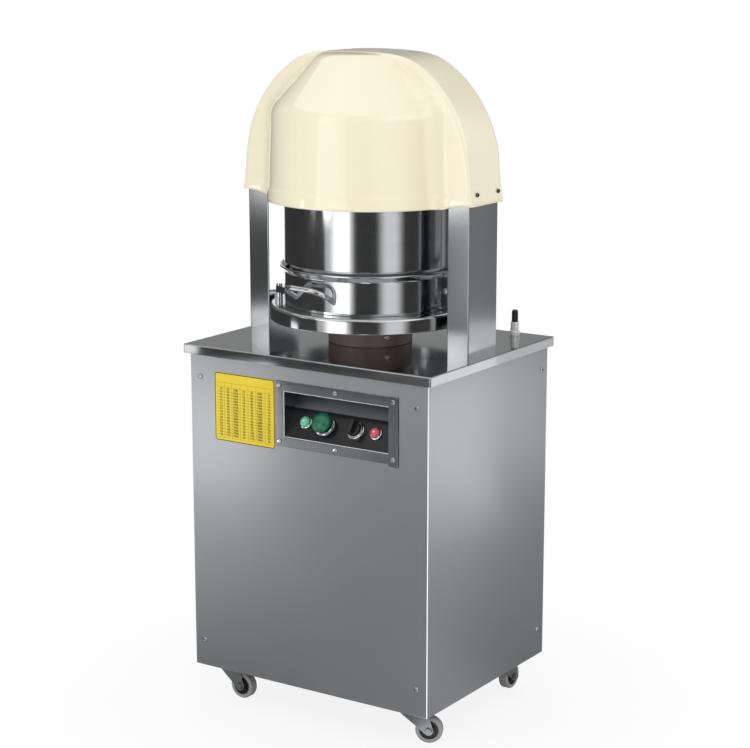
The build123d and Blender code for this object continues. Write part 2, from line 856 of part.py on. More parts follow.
# Rear part of the hoop, fixed on the disc.
rear_arc = ring_arc(disc_z, 90 + seam_turn, 270 + hinge_azimuth - 2 * seam_turn)
rear_flange = seam_flange(1, disc_z)
with BuildPart() as rear_ring:
    add(rear_arc)
    add(rear_flange)
rear_ring.part.label = "rear_ring"
export_step(rear_ring.part, "parts/rear_ring.step")

# Front part of the hoop, a door on an upright hinge at the left.
door_z = disc_z + ring_swing_gap
hinge_eye_point = ring_point(hinge_radius, hinge_azimuth, 0)
leaf_point = ring_point(ring_radius - ring_wall / 2, hinge_azimuth + hinge_leaf_angle, 0)
knuckle_z = disc_z + hinge_knuckle + hinge_gap
front_arc = ring_arc(door_z, hinge_azimuth + seam_turn, 90 - hinge_azimuth - 2 * seam_turn)
front_flange = seam_flange(-1, door_z)
with BuildPart() as front_ring:
    with BuildSketch(Plane.XY.offset(knuckle_z)):
        with Locations((hinge_eye_point.X, hinge_eye_point.Y)):
            Circle(hinge_eye / 2)
        with Locations((leaf_point.X, leaf_point.Y)):
            Circle(hinge_leaf_end / 2)
        make_hull()
        with Locations((hinge_eye_point.X, hinge_eye_point.Y)):
            Circle(hinge_pin / 2 + hinge_pin_clearance, mode=Mode.SUBTRACT)
        Circle(ring_inner + ring_wall / 2, mode=Mode.SUBTRACT)
    extrude(amount=hinge_knuckle)
    add(front_arc)
    add(front_flange)
front_ring.part.label = "front_ring"
export_step(front_ring.part, "parts/front_ring.step")

# Hinge bracket on the rim of the disc, with the pin that carries the door.
foot_point = ring_point(hinge_radius + hinge_foot_reach, hinge_azimuth, 0)
with BuildPart() as hinge_bracket:
    with BuildSketch(Plane.XY.offset(disc_z)):
        with Locations((hinge_eye_point.X, hinge_eye_point.Y)):
            Circle(hinge_eye / 2)
        with Locations((foot_point.X, foot_point.Y)):
            Circle(hinge_foot / 2)
        make_hull()
        Circle(disc_radius - disc_edge, mode=Mode.INTERSECT)
    extrude(amount=hinge_knuckle)
    with BuildSketch(Plane.XY.offset(disc_z + hinge_knuckle)):
        with Locations((hinge_eye_point.X, hinge_eye_point.Y)):
            Circle(hinge_pin / 2)
    extrude(amount=hinge_knuckle + 2 * hinge_gap)
    with BuildSketch(Plane.XY.offset(disc_z + 2 * hinge_knuckle + 2 * hinge_gap)):
        with Locations((hinge_eye_point.X, hinge_eye_point.Y)):
            Circle(hinge_cap / 2)
    extrude(amount=hinge_cap_height)
hinge_bracket.part.label = "hinge_bracket"
export_step(hinge_bracket.part, "parts/hinge_bracket.step")

# Clasp bolt that closes the seam, held in the door's flange.
with BuildPart() as clasp_bolt_piece:
    with BuildSketch(Plane.XZ.offset(seam_gap / 2 + flange_wall)):
        with Locations((clasp_x, clasp_z)):
            RegularPolygon(clasp_head / 2, 6, major_radius=False)
    extrude(amount=clasp_head_height)
    with BuildSketch(Plane.XZ.offset(seam_gap / 2 + flange_wall)):
        with Locations((clasp_x, clasp_z)):
            Circle(clasp_bolt / 2)
    extrude(amount=-flange_wall - clasp_tail)
clasp_bolt_piece.part.label = "clasp_bolt"
export_step(clasp_bolt_piece.part, "parts/clasp_bolt.step")

# Bow handle of bent rod on the front of the door, rising outwards.
handle_turn = degrees(handle_span / 2 / ring_radius)
handle_out = ring_point(1, handle_azimuth, 0)
handle_start = ring_point(ring_radius - ring_wall, handle_azimuth - handle_turn, door_z + handle_height)
handle_end = ring_point(ring_radius - ring_wall, handle_azimuth + handle_turn, door_z + handle_height)
handle_throw = handle_out * (handle_reach + ring_wall) + Vector(0, 0, handle_rise)
with BuildPart() as front_handle:
    with BuildLine() as handle_path:
        FilletPolyline(
            handle_start,
            handle_start + handle_throw,
            handle_end + handle_throw,
            handle_end,
            radius=handle_bend,
        )
    with BuildSketch(Plane(origin=handle_path.line @ 0, z_dir=handle_path.line % 0)):
        Circle(handle_rod / 2)
    sweep()
    with BuildSketch(Plane.XY.offset(disc_z)):
        Circle(ring_radius)
    extrude(amount=ring_height, mode=Mode.SUBTRACT)
front_handle.part.label = "front_handle"
export_step(front_handle.part, "parts/front_handle.step")

# Crossbeam over the drum, cast deeper in the middle, with its ends down inside the columns.
beam_half = column_x + beam_end_over
with BuildPart() as crossbeam:
    with BuildSketch(Plane.XZ):
        with BuildLine():
            Polyline(
                (-beam_half, beam_z),
                (beam_half, beam_z),
                (beam_half, beam_z + beam_end - beam_chamfer_height),
                (column_x, beam_z + beam_end),
                (beam_flat, beam_z + beam_middle),
                (-beam_flat, beam_z + beam_middle),
                (-column_x, beam_z + beam_end),
                (-beam_half, beam_z + beam_end - beam_chamfer_height),
                close=True,
            )
        make_face()
    extrude(amount=beam_width / 2, both=True)
    with BuildSketch(Plane.XY.offset(beam_z)):
        with GridLocations(2 * column_x, 0, 2, 1):
            Circle(rod_stub / 2 + fit_clearance)
    extrude(amount=beam_end, mode=Mode.SUBTRACT)
    with BuildSketch(Plane.XY.offset(beam_z + beam_nut_seat)):
        with GridLocations(2 * column_x, 0, 2, 1):
            Circle(rod_nut_size / 2 + rod_hole_play)
    extrude(amount=beam_middle, mode=Mode.SUBTRACT)
crossbeam.part.label = "crossbeam"
export_step(crossbeam.part, "parts/crossbeam.step")

# Lift rods down through the columns, stepped at both ends for their nuts.
with BuildPart() as lift_rods:
    with BuildSketch(Plane.XY.offset(yoke_z + yoke_height)):
        with GridLocations(2 * column_x, 0, 2, 1):
            Circle(rod_diameter / 2)
    extrude(amount=beam_z - yoke_z - yoke_height)
    with BuildSketch(Plane.XY.offset(yoke_z - rod_nut_height)):
        with GridLocations(2 * column_x, 0, 2, 1):
            Circle(rod_stub / 2)
    extrude(amount=yoke_height + rod_nut_height)
    with BuildSketch(Plane.XY.offset(beam_z)):
        with GridLocations(2 * column_x, 0, 2, 1):
            Circle(rod_stub / 2)
    extrude(amount=beam_nut_seat + rod_nut_height)
lift_rods.part.label = "lift_rods"
export_step(lift_rods.part, "parts/lift_rods.step")

with BuildPart() as rod_nuts:
    for level in (yoke_z - rod_nut_height, beam_z + beam_nut_seat):
        with BuildSketch(Plane.XY.offset(level)):
            with GridLocations(2 * column_x, 0, 2, 1):
                RegularPolygon(rod_nut_size / 2, 6, rotation=30)
                Circle(rod_stub / 2 + fit_clearance, mode=Mode.SUBTRACT)
        extrude(amount=rod_nut_height)
rod_nuts.part.label = "rod_nuts"
export_step(rod_nuts.part, "parts/rod_nuts.step")

# Lower yoke inside the cabinet, which joins the rods and carries the lead nut.
with BuildPart() as lower_yoke:
    with BuildSketch(Plane.XY.offset(yoke_z)):
        Rectangle(2 * beam_half, yoke_width)
        with GridLocations(2 * column_x, 0, 2, 1):
            Circle(rod_stub / 2 + fit_clearance, mode=Mode.SUBTRACT)
        Circle(lead_nut_body / 2 + fit_clearance, mode=Mode.SUBTRACT)
    extrude(amount=yoke_height)
lower_yoke.part.label = "lower_yoke"
export_step(lower_yoke.part, "parts/lower_yoke.step")

with BuildPart() as lead_nut:
    with BuildSketch(Plane.XY.offset(yoke_z + yoke_height)):
        Circle(lead_nut_flange / 2)
    extrude(amount=lead_nut_flange_height)
    with BuildSketch(Plane.XY.offset(yoke_z + yoke_height)):
        Circle(lead_nut_body / 2)
    extrude(amount=lead_nut_flange_height - lead_nut_length)
    with BuildSketch(Plane.XY.offset(yoke_z + yoke_height + lead_nut_flange_height)):
        Circle(screw_diameter / 2 + screw_play)
    extrude(amount=-lead_nut_length, mode=Mode.SUBTRACT)
lead_nut.part.label = "lead_nut"
export_step(lead_nut.part, "parts/lead_nut.step")

# Deck across the cabinet that carries the drive.
with BuildPart() as drive_deck:
    with BuildSketch(Plane.XY.offset(deck_level)):
        with Locations((0, (deck_rear - deck_front) / 2)):
            Rectangle(2 * deck_half, deck_front + deck_rear)
        with Locations((0, 0), (motor_x, motor_y)):
            Circle(deck_hole / 2, mode=Mode.SUBTRACT)
    extrude(amount=deck_sheet)
drive_deck.part.label = "drive_deck"
export_step(drive_deck.part, "parts/drive_deck.step")

# Flanged bearing units of the lead screw, on the deck and below the table.
with BuildPart() as screw_bearings:
    with BuildSketch(Plane.XY.offset(deck_top_z)):
        Rectangle(bearing_plate, bearing_plate)
    extrude(amount=bearing_plate_height)
    with BuildSketch(Plane.XY.offset(deck_top_z + bearing_plate_height)):
        Circle(bearing_boss / 2)
    extrude(amount=bearing_boss_height)
    with BuildSketch(Plane.XY.offset(upper_bearing_z)):
        Rectangle(bearing_plate, cross_bar_spacing + 2 * cross_bar_wall)
    extrude(amount=bearing_plate_height)
    with BuildSketch(Plane.XY.offset(deck_top_z)):
        Circle(screw_journal / 2 + journal_clearance)
    extrude(amount=table_under_z - deck_top_z, mode=Mode.SUBTRACT)
screw_bearings.part.label = "screw_bearings"
export_step(screw_bearings.part, "parts/screw_bearings.step")

# Upright lead screw, stepped down to its journals.
screw_seat_z = deck_top_z + bearing_plate_height + bearing_boss_height + swivel_gap
with BuildPart() as lead_screw:
    with BuildSketch(Plane.XY.offset(pulley_z)):
        Circle(screw_journal / 2)
    extrude(amount=upper_bearing_z + bearing_plate_height - pulley_z)
    with BuildSketch(Plane.XY.offset(screw_seat_z)):
        Circle(screw_diameter / 2)
    extrude(amount=upper_bearing_z - swivel_gap - screw_seat_z)
lead_screw.part.label = "lead_screw"
export_step(lead_screw.part, "parts/lead_screw.step")


def grooved_pulley(x, y, diameter, bore):
    """Pulley with one V groove, upright axis at x, y."""
    mid = pulley_z + pulley_height / 2
    half_root = belt_height / 2 + belt_clearance
    half_mouth = half_root + groove_depth / 4
    with BuildPart() as pulley:
        with BuildSketch(Plane(origin=(x, y, 0), x_dir=(1, 0, 0), z_dir=(0, -1, 0))):
            with BuildLine():
                Polyline(
                    (bore / 2, pulley_z),
                    (diameter / 2, pulley_z),
                    (diameter / 2, mid - half_mouth),
                    (diameter / 2 - groove_depth, mid - half_root),
                    (diameter / 2 - groove_depth, mid + half_root),
                    (diameter / 2, mid + half_mouth),
                    (diameter / 2, pulley_z + pulley_height),
                    (bore / 2, pulley_z + pulley_height),
                    close=True,
                )
            make_face()
        revolve(axis=Axis((x, y, 0), (0, 0, 1)))
    return pulley


screw_pulley = grooved_pulley(0, 0, screw_pulley_diameter, screw_journal + 2 * fit_clearance)
screw_pulley.part.label = "screw_pulley"
export_step(screw_pulley.part, "parts/screw_pulley.step")

motor_pulley = grooved_pulley(
    motor_x, motor_y, motor_pulley_diameter, motor_shaft_diameter + 2 * fit_clearance
)
motor_pulley.part.label = "motor_pulley"
export_step(motor_pulley.part, "parts/motor_pulley.step")

# Drive belt round both pulleys, clear of the groove floors.
belt_inner_screw = screw_pulley_diameter / 2 - groove_depth + belt_clearance
belt_inner_motor = motor_pulley_diameter / 2 - groove_depth + belt_clearance
with BuildPart() as drive_belt:
    with BuildSketch(Plane.XY.offset(pulley_z + (pulley_height - belt_height) / 2)):
        Circle(belt_inner_screw + belt_thickness)
        with Locations((motor_x, motor_y)):
            Circle(belt_inner_motor + belt_thickness)
        make_hull()
    extrude(amount=belt_height)
    with BuildSketch(Plane.XY.offset(pulley_z + (pulley_height - belt_height) / 2)):
        Circle(belt_inner_screw)
        with Locations((motor_x, motor_y)):
            Circle(belt_inner_motor)
        make_hull()
    extrude(amount=belt_height, mode=Mode.SUBTRACT)
drive_belt.part.label = "drive_belt"
export_step(drive_belt.part, "parts/drive_belt.step")

# Finned motor standing on the deck, shaft down.
motor_fin_z = deck_top_z + motor_flange_height
with BuildPart() as motor_body:
    with BuildSketch(Plane.XY.offset(deck_top_z)):
        with Locations((motor_x, motor_y)):
            Circle(motor_flange / 2)
    extrude(amount=motor_flange_height)
    with BuildSketch(Plane.XY.offset(motor_fin_z)):
        with Locations((motor_x, motor_y)):
            Circle(motor_body_diameter / 2)
            with PolarLocations(motor_body_diameter / 2, motor_fin_count):
                Rectangle(2 * motor_fin_depth, motor_fin_width)
    extrude(amount=motor_length)
    with BuildSketch(Plane.XY.offset(motor_fin_z + motor_length)):
        with Locations((motor_x, motor_y)):
            Circle(fan_cover_diameter / 2)
    extrude(amount=fan_cover_height)
    with BuildSketch(Plane.XY.offset(motor_fin_z)):
        with Locations((motor_x - motor_body_diameter / 2, motor_y)):
            Rectangle(motor_box_depth, motor_box_width)
    extrude(amount=motor_box_height)
    with BuildSketch(Plane.XY.offset(deck_top_z)):
        with Locations((motor_x, motor_y)):
            Circle(motor_shaft_diameter / 2 + journal_clearance)
    extrude(amount=motor_shaft_bore_depth, mode=Mode.SUBTRACT)
motor_body.part.label = "motor_body"
export_step(motor_body.part, "parts/motor_body.step")

with BuildPart() as motor_shaft:
    with BuildSketch(Plane.XY.offset(pulley_z)):
        with Locations((motor_x, motor_y)):
            Circle(motor_shaft_diameter / 2)
    extrude(amount=deck_top_z + motor_shaft_bore_depth - swivel_gap - pulley_z)
motor_shaft.part.label = "motor_shaft"
export_step(motor_shaft.part, "parts/motor_shaft.step")

# Contactor box on the deck.
with BuildPart() as electrical_box:
    with BuildSketch(Plane.XY.offset(deck_top_z)):
        with Locations((electrical_box_x, electrical_box_y)):
            RectangleRounded(electrical_box_width, electrical_box_depth, electrical_box_corner)
    extrude(amount=electrical_box_height)
electrical_box.part.label = "electrical_box"
export_step(electrical_box.part, "parts/electrical_box.step")

# Limit switches hung from the front bar, one at the top of the yoke's travel and one at its foot.
switch_near_y = -yoke_width / 2 - switch_gap
switch_far_y = -cross_y - cross_bar_wall / 2
with BuildPart() as limit_switches:
    for place, bottom in ((switch_x, upper_bearing_z - switch_height), (-switch_x, yoke_z)):
        with BuildSketch(Plane.XY.offset(bottom)):
            with Locations((place, switch_far_y + cross_bar_wall / 2)):
                Rectangle(switch_width, cross_bar_wall)
        extrude(amount=table_under_z - angle_leg - bottom)
        with BuildSketch(Plane.XY.offset(bottom)):
            with Locations((place, (switch_near_y + switch_far_y) / 2)):
                Rectangle(switch_width, switch_near_y - switch_far_y)
        extrude(amount=switch_height)
limit_switches.part.label = "limit_switches"
export_step(limit_switches.part, "parts/limit_switches.step")

# Plate that closes the top of the drum, with the guide pins of the press springs.
with BuildPart() as head_plate:
    with BuildSketch(Plane.XY.offset(head_plate_z)):
        Circle(drum_radius)
    extrude(amount=head_plate_height)
    with BuildSketch(Plane.XY.offset(carrier_z - carrier_rest_gap)):
        with PolarLocations(spring_circle, spring_count, start_angle=30):
            Circle(spring_pin / 2)
    extrude(amount=head_plate_z - carrier_z + carrier_rest_gap)
    with BuildSketch(Plane.XY.offset(carrier_z - carrier_rest_gap)):
        with PolarLocations(spring_circle, spring_count, start_angle=30):
            Circle(spring_pin_head / 2)
    extrude(amount=-spring_pin_head_height)
head_plate.part.label = "head_plate"
export_step(head_plate.part, "parts/head_plate.step")

# Mirror-polished drum hung from the head plate.
with BuildPart() as head_drum:
    with BuildSketch(Plane.XY.offset(drum_z)):
        Circle(drum_radius)
        Circle(drum_radius - drum_wall, mode=Mode.SUBTRACT)
    extrude(amount=drum_height)
head_drum.part.label = "head_drum"
export_step(head_drum.part, "parts/head_drum.step")

# Knife grid: three round blades and radial blades between them make cells of equal area.
cells = inner_cells + middle_cells + outer_cells
inner_blade = knife_radius * sqrt(inner_cells / cells)
middle_blade = knife_radius * sqrt((inner_cells + middle_cells) / cells)


def draw_blades(width):
    """Plan of all blades at a given thickness, drawn into the sketch that is open."""
    for radius in (knife_radius, middle_blade, inner_blade):
        Circle(radius + width / 2)
        Circle(radius - width / 2, mode=Mode.SUBTRACT)
    rows = ((0, inner_blade, inner_cells), (inner_blade, middle_blade, middle_cells))
    for start, end, count in rows + ((middle_blade, knife_radius, outer_cells),):
        with PolarLocations((start + end) / 2, count):
            Rectangle(end - start, width)


with BuildPart() as knife_grid:
    with BuildSketch(Plane.XY.offset(knife_z)):
        draw_blades(knife_wall)
    extrude(amount=knife_height)
    with BuildSketch(Plane.XY.offset(knife_top_z)):
        with PolarLocations(middle_blade, post_count):
            Circle(post_diameter / 2)
    extrude(amount=head_plate_z - knife_top_z)
knife_grid.part.label = "knife_grid"
export_step(knife_grid.part, "parts/knife_grid.step")

# Press pads, one in each cell, each on its own stem.
stem_rows = (
    (inner_blade * 2 / 3, inner_cells),
    ((inner_blade + middle_blade) / 2, middle_cells),
    ((middle_blade + knife_radius) / 2, outer_cells),
)
with BuildPart() as press_pads:
    with BuildSketch(Plane.XY.offset(pad_z)):
        Circle(knife_radius)
    extrude(amount=pad_thickness)
    with BuildSketch(Plane.XY.offset(pad_z)):
        draw_blades(knife_wall + 2 * pad_slot_clearance)
    extrude(amount=pad_thickness, mode=Mode.SUBTRACT)
    with BuildSketch(Plane.XY.offset(pad_z + pad_thickness)):
        for radius, count in stem_rows:
            with PolarLocations(radius, count, start_angle=180 / count):
                Circle(pad_stem / 2)
    extrude(amount=pad_stem_length)
press_pads.part.label = "press_pads"
export_step(press_pads.part, "parts/press_pads.step")

# Carrier plate of the pads, holed for the knife posts and the spring pins.
with BuildPart() as press_carrier:
    with BuildSketch(Plane.XY.offset(carrier_z)):
        Circle(carrier_radius)
        with PolarLocations(middle_blade, post_count):
            Circle(post_diameter / 2 + post_clearance, mode=Mode.SUBTRACT)
        with PolarLocations(spring_circle, spring_count, start_angle=30):
            Circle(spring_pin / 2 + spring_pin_clearance, mode=Mode.SUBTRACT)
    extrude(amount=carrier_thickness)
press_carrier.part.label = "press_carrier"
export_step(press_carrier.part, "parts/press_carrier.step")

# Urethane springs on the pins, between the carrier and the head plate.
with BuildPart() as press_springs:
    with BuildSketch(Plane.XY.offset(carrier_z + carrier_thickness)):
        with PolarLocations(spring_circle, spring_count, start_angle=30):
            Circle(spring_outer / 2)
            Circle(spring_pin / 2 + spring_pin_clearance, mode=Mode.SUBTRACT)
    extrude(amount=head_plate_z - carrier_z - carrier_thickness)
press_springs.part.label = "press_springs"
export_step(press_springs.part, "parts/press_springs.step")

# Outline of the cover's arch: drafted sides, a round shoulder arc and a slightly raised crown.
cover_bottom_z = column_top_z - cover_overlap
cover_depth = column_depth + 2 * (cover_side_gap + cover_wall)
draft = radians(cover_draft)
arc_z = cover_bottom_z + cover_arc_rise
side_top_z = arc_z + cover_arc * sin(draft)
cover_outer_x = column_outer_x + cover_fit + cover_wall / cos(draft)
side_top_x = cover_outer_x - (side_top_z - column_top_z) * tan(draft)
arc_x = side_top_x - cover_arc * cos(draft)
crown_z = arc_z + sqrt(cover_arc**2 - (cover_crown_half - arc_x) ** 2)
arc_mid = (draft + atan2(crown_z - arc_z, cover_crown_half - arc_x)) / 2
arc_mid_x = arc_x + cover_arc * cos(arc_mid)
arc_mid_z = arc_z + cover_arc * sin(arc_mid)
bulge_radius = drum_radius + cover_bulge_gap + cover_wall
bulge_z = cover_bottom_z - cover_bulge_drop
shoulder_radius = bulge_radius - bulge_draft
shoulder_z = bulge_z + bulge_height


def cover_solid(inset, drop):
    """Arch and round bulge of the cover as one solid, moved in by inset and lengthened below by drop."""
    foot_z = cover_bottom_z - drop
    foot_x = side_top_x + (side_top_z - foot_z) * tan(draft)
    crown = (cover_crown_half, crown_z)
    crown_left = (-cover_crown_half, crown_z)
    with BuildPart() as arch:
        with BuildSketch(Plane.XZ):
            with BuildLine():
                Polyline(
                    (-side_top_x, side_top_z),
                    (-foot_x, foot_z),
                    (foot_x, foot_z),
                    (side_top_x, side_top_z),
                )
                ThreePointArc((side_top_x, side_top_z), (arc_mid_x, arc_mid_z), crown)
                ThreePointArc(crown, (0, crown_z + cover_crown_rise), crown_left)
                ThreePointArc(crown_left, (-arc_mid_x, arc_mid_z), (-side_top_x, side_top_z))
            make_face()
            offset(amount=-inset)
        extrude(amount=cover_depth / 2 - inset, both=True)
        edge_band = arch.edges().group_by(Axis.Y)
        rims = edge_band[0].filter_by(Axis.X, reverse=True) + edge_band[-1].filter_by(Axis.X, reverse=True)
        fillet(rims, cover_edge - inset)
    round_foot_z = bulge_z - drop
    top = crown_z + cover_crown_rise
    shoulder_top_z = top - bulge_crown_rise
    with BuildPart() as bulge:
        with BuildSketch(Plane.XZ) as half:
            with BuildLine():
                Polyline(
                    (-shoulder_radius, shoulder_z),
                    (-bulge_radius, round_foot_z),
                    (bulge_radius, round_foot_z),
                    (shoulder_radius, shoulder_z),
                    (bulge_top_radius, shoulder_top_z),
                )
                ThreePointArc(
                    (bulge_top_radius, shoulder_top_z), (0, top), (-bulge_top_radius, shoulder_top_z)
                )
                Line((-bulge_top_radius, shoulder_top_z), (-shoulder_radius, shoulder_z))
            make_face()
            fillet(half.vertices().group_by(Axis.Y)[1], bulge_shoulder)
            offset(amount=-inset)
            with Locations((bulge_radius, shoulder_z)):
                Rectangle(2 * bulge_radius, 2 * shoulder_z, mode=Mode.INTERSECT)
        revolve(axis=Axis.Z)
    return arch.part + bulge.part


cover_outer = cover_solid(0, 0)
cover_inner = cover_solid(cover_wall, 2 * cover_wall)
with BuildPart() as cover:
    add(cover_outer)
    add(cover_inner, mode=Mode.SUBTRACT)
    with BuildSketch(Plane.YZ):
        with Locations((0, column_top_z - cover_screw_drop)):
            with GridLocations(cover_screw_spacing, 0, 2, 1):
                Circle(cover_screw_hole / 2)
    extrude(amount=cabinet_width, both=True, mode=Mode.SUBTRACT)
cover.part.label = "cover"
export_step(cover.part, "parts/cover.step")

# Screws that fix the cover to the columns.
cover_seat_x = cover_outer_x + (cover_screw_drop + cover_screw_head / 2) * tan(draft)
with BuildPart() as cover_screws:
    for side in (-1, 1):
        with BuildSketch(side_plane(side, cover_seat_x)):
            with Locations((0, column_top_z - cover_screw_drop)):
                with GridLocations(cover_screw_spacing, 0, 2, 1):
                    Circle(cover_screw_head / 2)
        extrude(amount=cover_screw_head_height)
        with BuildSketch(side_plane(side, cover_seat_x)):
            with Locations((0, column_top_z - cover_screw_drop)):
                with GridLocations(cover_screw_spacing, 0, 2, 1):
                    Circle(cover_screw_shank / 2)
        extrude(amount=column_outer_x - column_wall - cover_seat_x)
cover_screws.part.label = "cover_screws"
export_step(cover_screws.part, "parts/cover_screws.step")

# Threaded collar on the table, and the knob that turns in it.
with BuildPart() as knob_collar:
    with BuildSketch(Plane.XY.offset(table_z)):
        with Locations((knob_x, knob_y)):
            Circle(collar_diameter / 2)
    extrude(amount=collar_step_height)
    with BuildSketch(Plane.XY.offset(table_z + collar_step_height)):
        with Locations((knob_x, knob_y)):
            Circle(collar_diameter / 2 - collar_step)
    extrude(amount=collar_height - collar_step_height)
    with BuildSketch(Plane.XY.offset(table_z)):
        with Locations((knob_x, knob_y)):
            Circle(knob_spindle / 2 + stem_clearance)
    extrude(amount=collar_height, mode=Mode.SUBTRACT)
knob_collar.part.label = "knob_collar"
export_step(knob_collar.part, "parts/knob_collar.step")

knob_cap_z = table_z + collar_height + knob_lift
with BuildPart() as setting_knob:
    with BuildSketch(Plane.XY.offset(knob_cap_z)):
        with Locations((knob_x, knob_y)):
            Circle(knob_cap / 2)
    with BuildSketch(Plane.XY.offset(knob_cap_z + knob_cap_height)):
        with Locations((knob_x, knob_y)):
            Circle(knob_cap_top / 2)
    loft()
    fillet(setting_knob.edges().sort_by(Axis.Z)[-1], knob_cap_top / 3)
    with BuildSketch(Plane.XY.offset(knob_cap_z)):
        with Locations((knob_x, knob_y)):
            Circle(knob_spindle / 2)
    extrude(amount=table_under_z - spindle_tail - knob_cap_z)
setting_knob.part.label = "setting_knob"
export_step(setting_knob.part, "parts/setting_knob.step")

# Casters: plates with their swivel races on the frame, then a fork and a wheel for each.
caster_x = cabinet_width / 2 - caster_inset_x
caster_y = cabinet_depth / 2 - caster_inset_y
race_z = base_z - caster_plate_sheet - race_height
crown_z_low = race_z - swivel_gap - crown_height
wheel_z = wheel_diameter / 2
fork_inside = wheel_hub_width / 2 + fork_gap
with BuildPart() as caster_plates:
    with BuildSketch(Plane.XY.offset(base_z)):
        with GridLocations(2 * caster_x, 2 * caster_y, 2, 2):
            Rectangle(caster_plate, caster_plate)
    extrude(amount=-caster_plate_sheet)
    with BuildSketch(Plane.XY.offset(race_z)):
        with GridLocations(2 * caster_x, 2 * caster_y, 2, 2):
            Circle(race_diameter / 2)
    extrude(amount=race_height)
    with BuildSketch(Plane.XY.offset(race_z)):
        with GridLocations(2 * caster_x, 2 * caster_y, 2, 2):
            Circle(king_pin / 2 + king_pin_clearance)
    extrude(amount=base_z - race_z, mode=Mode.SUBTRACT)
caster_plates.part.label = "caster_plates"
export_step(caster_plates.part, "parts/caster_plates.step")

for corner, yaw in caster_yaw.items():
    stem_x = caster_x if corner.endswith("right") else -caster_x
    stem_y = caster_y if corner.startswith("rear") else -caster_y
    turn = radians(yaw)
    upright = Plane(
        origin=(stem_x, stem_y, 0), x_dir=(cos(turn), sin(turn), 0), z_dir=(sin(turn), -cos(turn), 0)
    )
    axle_point = upright.from_local_coords(Vector(caster_trail, wheel_z, 0))

    # Pressed steel fork with its king pin and axle.
    with BuildPart() as caster_fork:
        for side in (-1, 1):
            with BuildSketch(upright.offset(side * (fork_inside + fork_wall / 2))):
                with Locations((caster_trail, wheel_z)):
                    Circle(fork_eye / 2)
                with Locations((-fork_lean, crown_z_low + crown_height / 2)):
                    Rectangle(fork_top, crown_height)
                make_hull()
            extrude(amount=fork_wall / 2, both=True)
        with BuildSketch(upright):
            with Locations((-fork_lean, crown_z_low + crown_height / 2)):
                Rectangle(fork_top, crown_height)
        extrude(amount=fork_inside + fork_wall, both=True)
        with BuildSketch(Plane.XY.offset(crown_z_low)):
            with Locations((stem_x, stem_y)):
                Circle(crown_diameter / 2)
        extrude(amount=crown_height)
        with BuildSketch(Plane.XY.offset(crown_z_low)):
            with Locations((stem_x, stem_y)):
                Circle(king_pin / 2)
        extrude(amount=base_z - caster_plate_sheet - crown_z_low)
        with BuildSketch(upright):
            with Locations((caster_trail, wheel_z)):
                Circle(axle / 2)
        extrude(amount=fork_inside + fork_wall, both=True)
        for side in (-1, 1):
            with BuildSketch(upright.offset(side * (fork_inside + fork_wall))):
                with Locations((caster_trail, wheel_z)):
                    RegularPolygon(axle_nut / 2, 6)
            extrude(amount=side * axle_nut_height)
    caster_fork.part.label = f"caster_fork_{corner}"
    export_step(caster_fork.part, f"parts/caster_fork_{corner}.step")

    # Wheel with a rounded tread and a wider hub, bored for the axle.
    with BuildPart() as caster_wheel:
        with BuildSketch(Plane(origin=axle_point, x_dir=(0, 0, 1), z_dir=upright.x_dir)):
            with BuildLine():
                Polyline(
                    (axle / 2 + axle_clearance, -wheel_hub_width / 2),
                    (wheel_hub / 2, -wheel_hub_width / 2),
                    (wheel_hub / 2, -wheel_width / 2),
                    (wheel_diameter / 2 - wheel_edge, -wheel_width / 2),
                    (wheel_diameter / 2, -wheel_width / 2 + wheel_edge),
                    (wheel_diameter / 2, wheel_width / 2 - wheel_edge),
                    (wheel_diameter / 2 - wheel_edge, wheel_width / 2),
                    (wheel_hub / 2, wheel_width / 2),
                    (wheel_hub / 2, wheel_hub_width / 2),
                    (axle / 2 + axle_clearance, wheel_hub_width / 2),
                    close=True,
                )
            make_face()
        revolve(axis=Axis(axle_point, upright.z_dir))
    caster_wheel.part.label = f"caster_wheel_{corner}"
    export_step(caster_wheel.part, f"parts/caster_wheel_{corner}.step")
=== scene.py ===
import json
import math

import bmesh
import bpy
import numpy as np
from mathutils import Matrix, Vector


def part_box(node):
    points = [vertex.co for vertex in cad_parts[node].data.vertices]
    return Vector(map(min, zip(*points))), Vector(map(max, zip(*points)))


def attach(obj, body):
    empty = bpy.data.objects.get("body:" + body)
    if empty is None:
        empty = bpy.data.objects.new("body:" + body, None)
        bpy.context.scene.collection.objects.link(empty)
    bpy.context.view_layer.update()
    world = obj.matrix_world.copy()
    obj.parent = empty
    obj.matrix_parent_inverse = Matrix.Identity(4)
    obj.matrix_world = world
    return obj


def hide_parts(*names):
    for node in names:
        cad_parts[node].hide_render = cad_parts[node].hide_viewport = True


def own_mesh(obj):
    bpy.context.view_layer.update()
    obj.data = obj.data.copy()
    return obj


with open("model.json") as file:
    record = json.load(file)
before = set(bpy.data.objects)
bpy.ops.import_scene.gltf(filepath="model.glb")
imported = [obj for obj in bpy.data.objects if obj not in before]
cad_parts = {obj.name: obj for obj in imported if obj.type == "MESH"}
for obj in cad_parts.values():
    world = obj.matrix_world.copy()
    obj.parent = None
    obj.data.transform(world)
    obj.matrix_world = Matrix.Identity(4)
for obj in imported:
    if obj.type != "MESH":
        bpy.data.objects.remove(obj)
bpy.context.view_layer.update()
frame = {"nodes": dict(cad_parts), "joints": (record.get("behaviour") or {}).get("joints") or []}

# Cabinet frame
# Four posts of steel angle welded to a bottom and a top ring, with pads for the casters and rails
# for the drive deck. It is sprayed with grey primer, and the panels are screwed to it.


